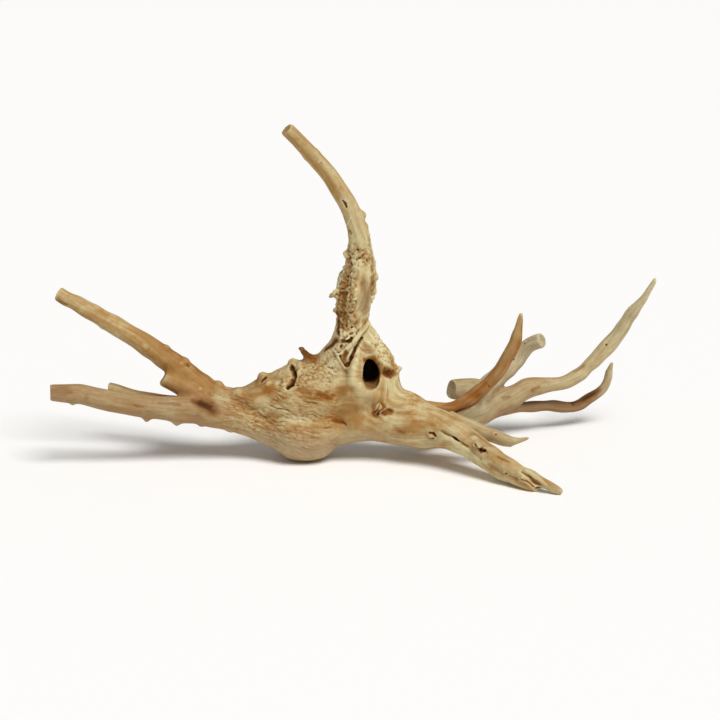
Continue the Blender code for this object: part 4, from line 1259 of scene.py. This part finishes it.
# The stain holds dirt and resin and also painted shade; both turn the wood brown, then nearly black.
soiled_and_shaded = add(tree, "ShaderNodeMapRange", {"Value": skin["stain_and_shade"], "From Min": 0.0, "From Max": 0.65})
colour = add(tree, "ShaderNodeMix", {0: soiled_and_shaded, 6: colour, 7: BROWN}, 2, data_type="RGBA")
sooty_and_shaded = add(tree, "ShaderNodeMapRange", {"Value": skin["stain_and_shade"], "From Min": 0.5, "From Max": 0.9})
colour = add(tree, "ShaderNodeMix", {0: sooty_and_shaded, 6: colour, 7: DARK}, 2, data_type="RGBA")
print("with wear and dirt:", len(tree.nodes), "nodes so far")

# %% [markdown]
# ## Feel of the surface
# Bare wood has no coat. Its roughness changes from fibre to fibre, and its reflection is weak, as it
# scatters most light below the surface. Fibres and crumbs stand up to half a millimetre. They are too
# small for the mesh, so they are bump.

# %% Feel of the surface
NAP_HEIGHT = 0.5

matt = add(tree, "ShaderNodeMapRange", {
    "Value": fibres, "From Min": 0.3, "From Max": 0.7, "To Min": 0.52, "To Max": 0.68,
})
combed = add(tree, "ShaderNodeMapRange", {"Value": skin["fibreless"], "To Min": 1.0, "To Max": 0.35})
nap = add(tree, "ShaderNodeMath", {0: fibres, 1: combed}, operation="MULTIPLY")
nap = add(tree, "ShaderNodeMath", {0: crumbs, 1: 0.5, 2: nap}, operation="MULTIPLY_ADD")
normal = add(tree, "ShaderNodeBump", {"Height": nap, "Strength": 0.7, "Distance": NAP_HEIGHT * MM})
shader = add(tree, "ShaderNodeBsdfPrincipled", {
    "Base Color": colour, "Roughness": matt, "Specular IOR Level": 0.15, "Normal": normal,
})
add(tree, "ShaderNodeOutputMaterial", {"Surface": shader})

mesh.materials.clear()
mesh.materials.append(wood)
print(mesh.materials[0].name, "has", len(tree.nodes), "nodes")

# %% [markdown]
# ## Floor, light and camera
# A pale floor, one wide soft light from above, in front and a little to the right, and an even glow from
# all sides, as for a product photograph. Area lamps could make the same soft shadows, but a wide sun lights
# both ends of the root alike. The camera looks a little down on it, from far away through a long lens.

# %% Floor
FLOOR_SIDE = 12.0


def pale_floor():
    """One square at z = 0, with a matt pale material."""
    corners = FLOOR_SIDE / 2 * np.array([(-1, -1, 0), (1, -1, 0), (1, 1, 0), (-1, 1, 0)])
    mesh = bpy.data.meshes.new("floor")
    mesh.from_pydata(corners, [], [(0, 1, 2, 3)])
    floor = bpy.data.objects.new("floor", mesh)
    bpy.context.scene.collection.objects.link(floor)
    material = bpy.data.materials.new("matt_paper")
    material.use_nodes = True
    shader = material.node_tree.nodes["Principled BSDF"]
    shader.inputs["Base Color"].default_value = linear("#fbfaf8")
    shader.inputs["Roughness"].default_value = 0.9
    floor.data.materials.append(material)
    return floor


floor = pale_floor()
print("a floor", FLOOR_SIDE, "m wide, of", floor.data.materials[0].name)

# %% Light
CEILING_FROM = (0.35, -0.5, 1)
CEILING_WIDTH = 30
CEILING_STRENGTH = 2.75
GLOW_STRENGTH = 0.29

ceiling = bpy.data.lights.new("ceiling", "SUN")
ceiling.angle = math.radians(CEILING_WIDTH)
ceiling.energy = CEILING_STRENGTH
lamp = bpy.data.objects.new("ceiling", ceiling)
lamp.rotation_euler = Vector(CEILING_FROM).to_track_quat("Z", "Y").to_euler()
bpy.context.scene.collection.objects.link(lamp)

world = bpy.data.worlds.new("studio")
world.use_nodes = True
glow = world.node_tree.nodes["Background"]
glow.inputs["Color"].default_value = (1, 1, 1, 1)
glow.inputs["Strength"].default_value = GLOW_STRENGTH
bpy.context.scene.world = world
bpy.context.scene.view_settings.view_transform = "Standard"
print("a ceiling of light", CEILING_WIDTH, "degrees wide, and a glow from all round")

# %% Camera
CAMERA_TARGET = (0.001, 0.0, 0.0676)
CAMERA_DISTANCE = 1.386
CAMERA_ELEVATION = 15.0
CAMERA_LENS = 105

lens = bpy.data.cameras.new("camera")
lens.lens = CAMERA_LENS
camera = bpy.data.objects.new("camera", lens)
tilt = math.radians(CAMERA_ELEVATION)
back = Vector((0, -math.cos(tilt), math.sin(tilt)))
camera.location = Vector(CAMERA_TARGET) + CAMERA_DISTANCE * back
camera.rotation_euler = back.to_track_quat("Z", "Y").to_euler()
bpy.context.scene.collection.objects.link(camera)
bpy.context.scene.camera = camera
print("the camera stands at", tuple(round(v, 3) for v in camera.location), "m")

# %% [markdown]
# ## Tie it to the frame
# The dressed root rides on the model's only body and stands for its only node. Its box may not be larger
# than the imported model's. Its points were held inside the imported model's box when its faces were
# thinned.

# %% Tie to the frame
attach(root, "root")
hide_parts("root")
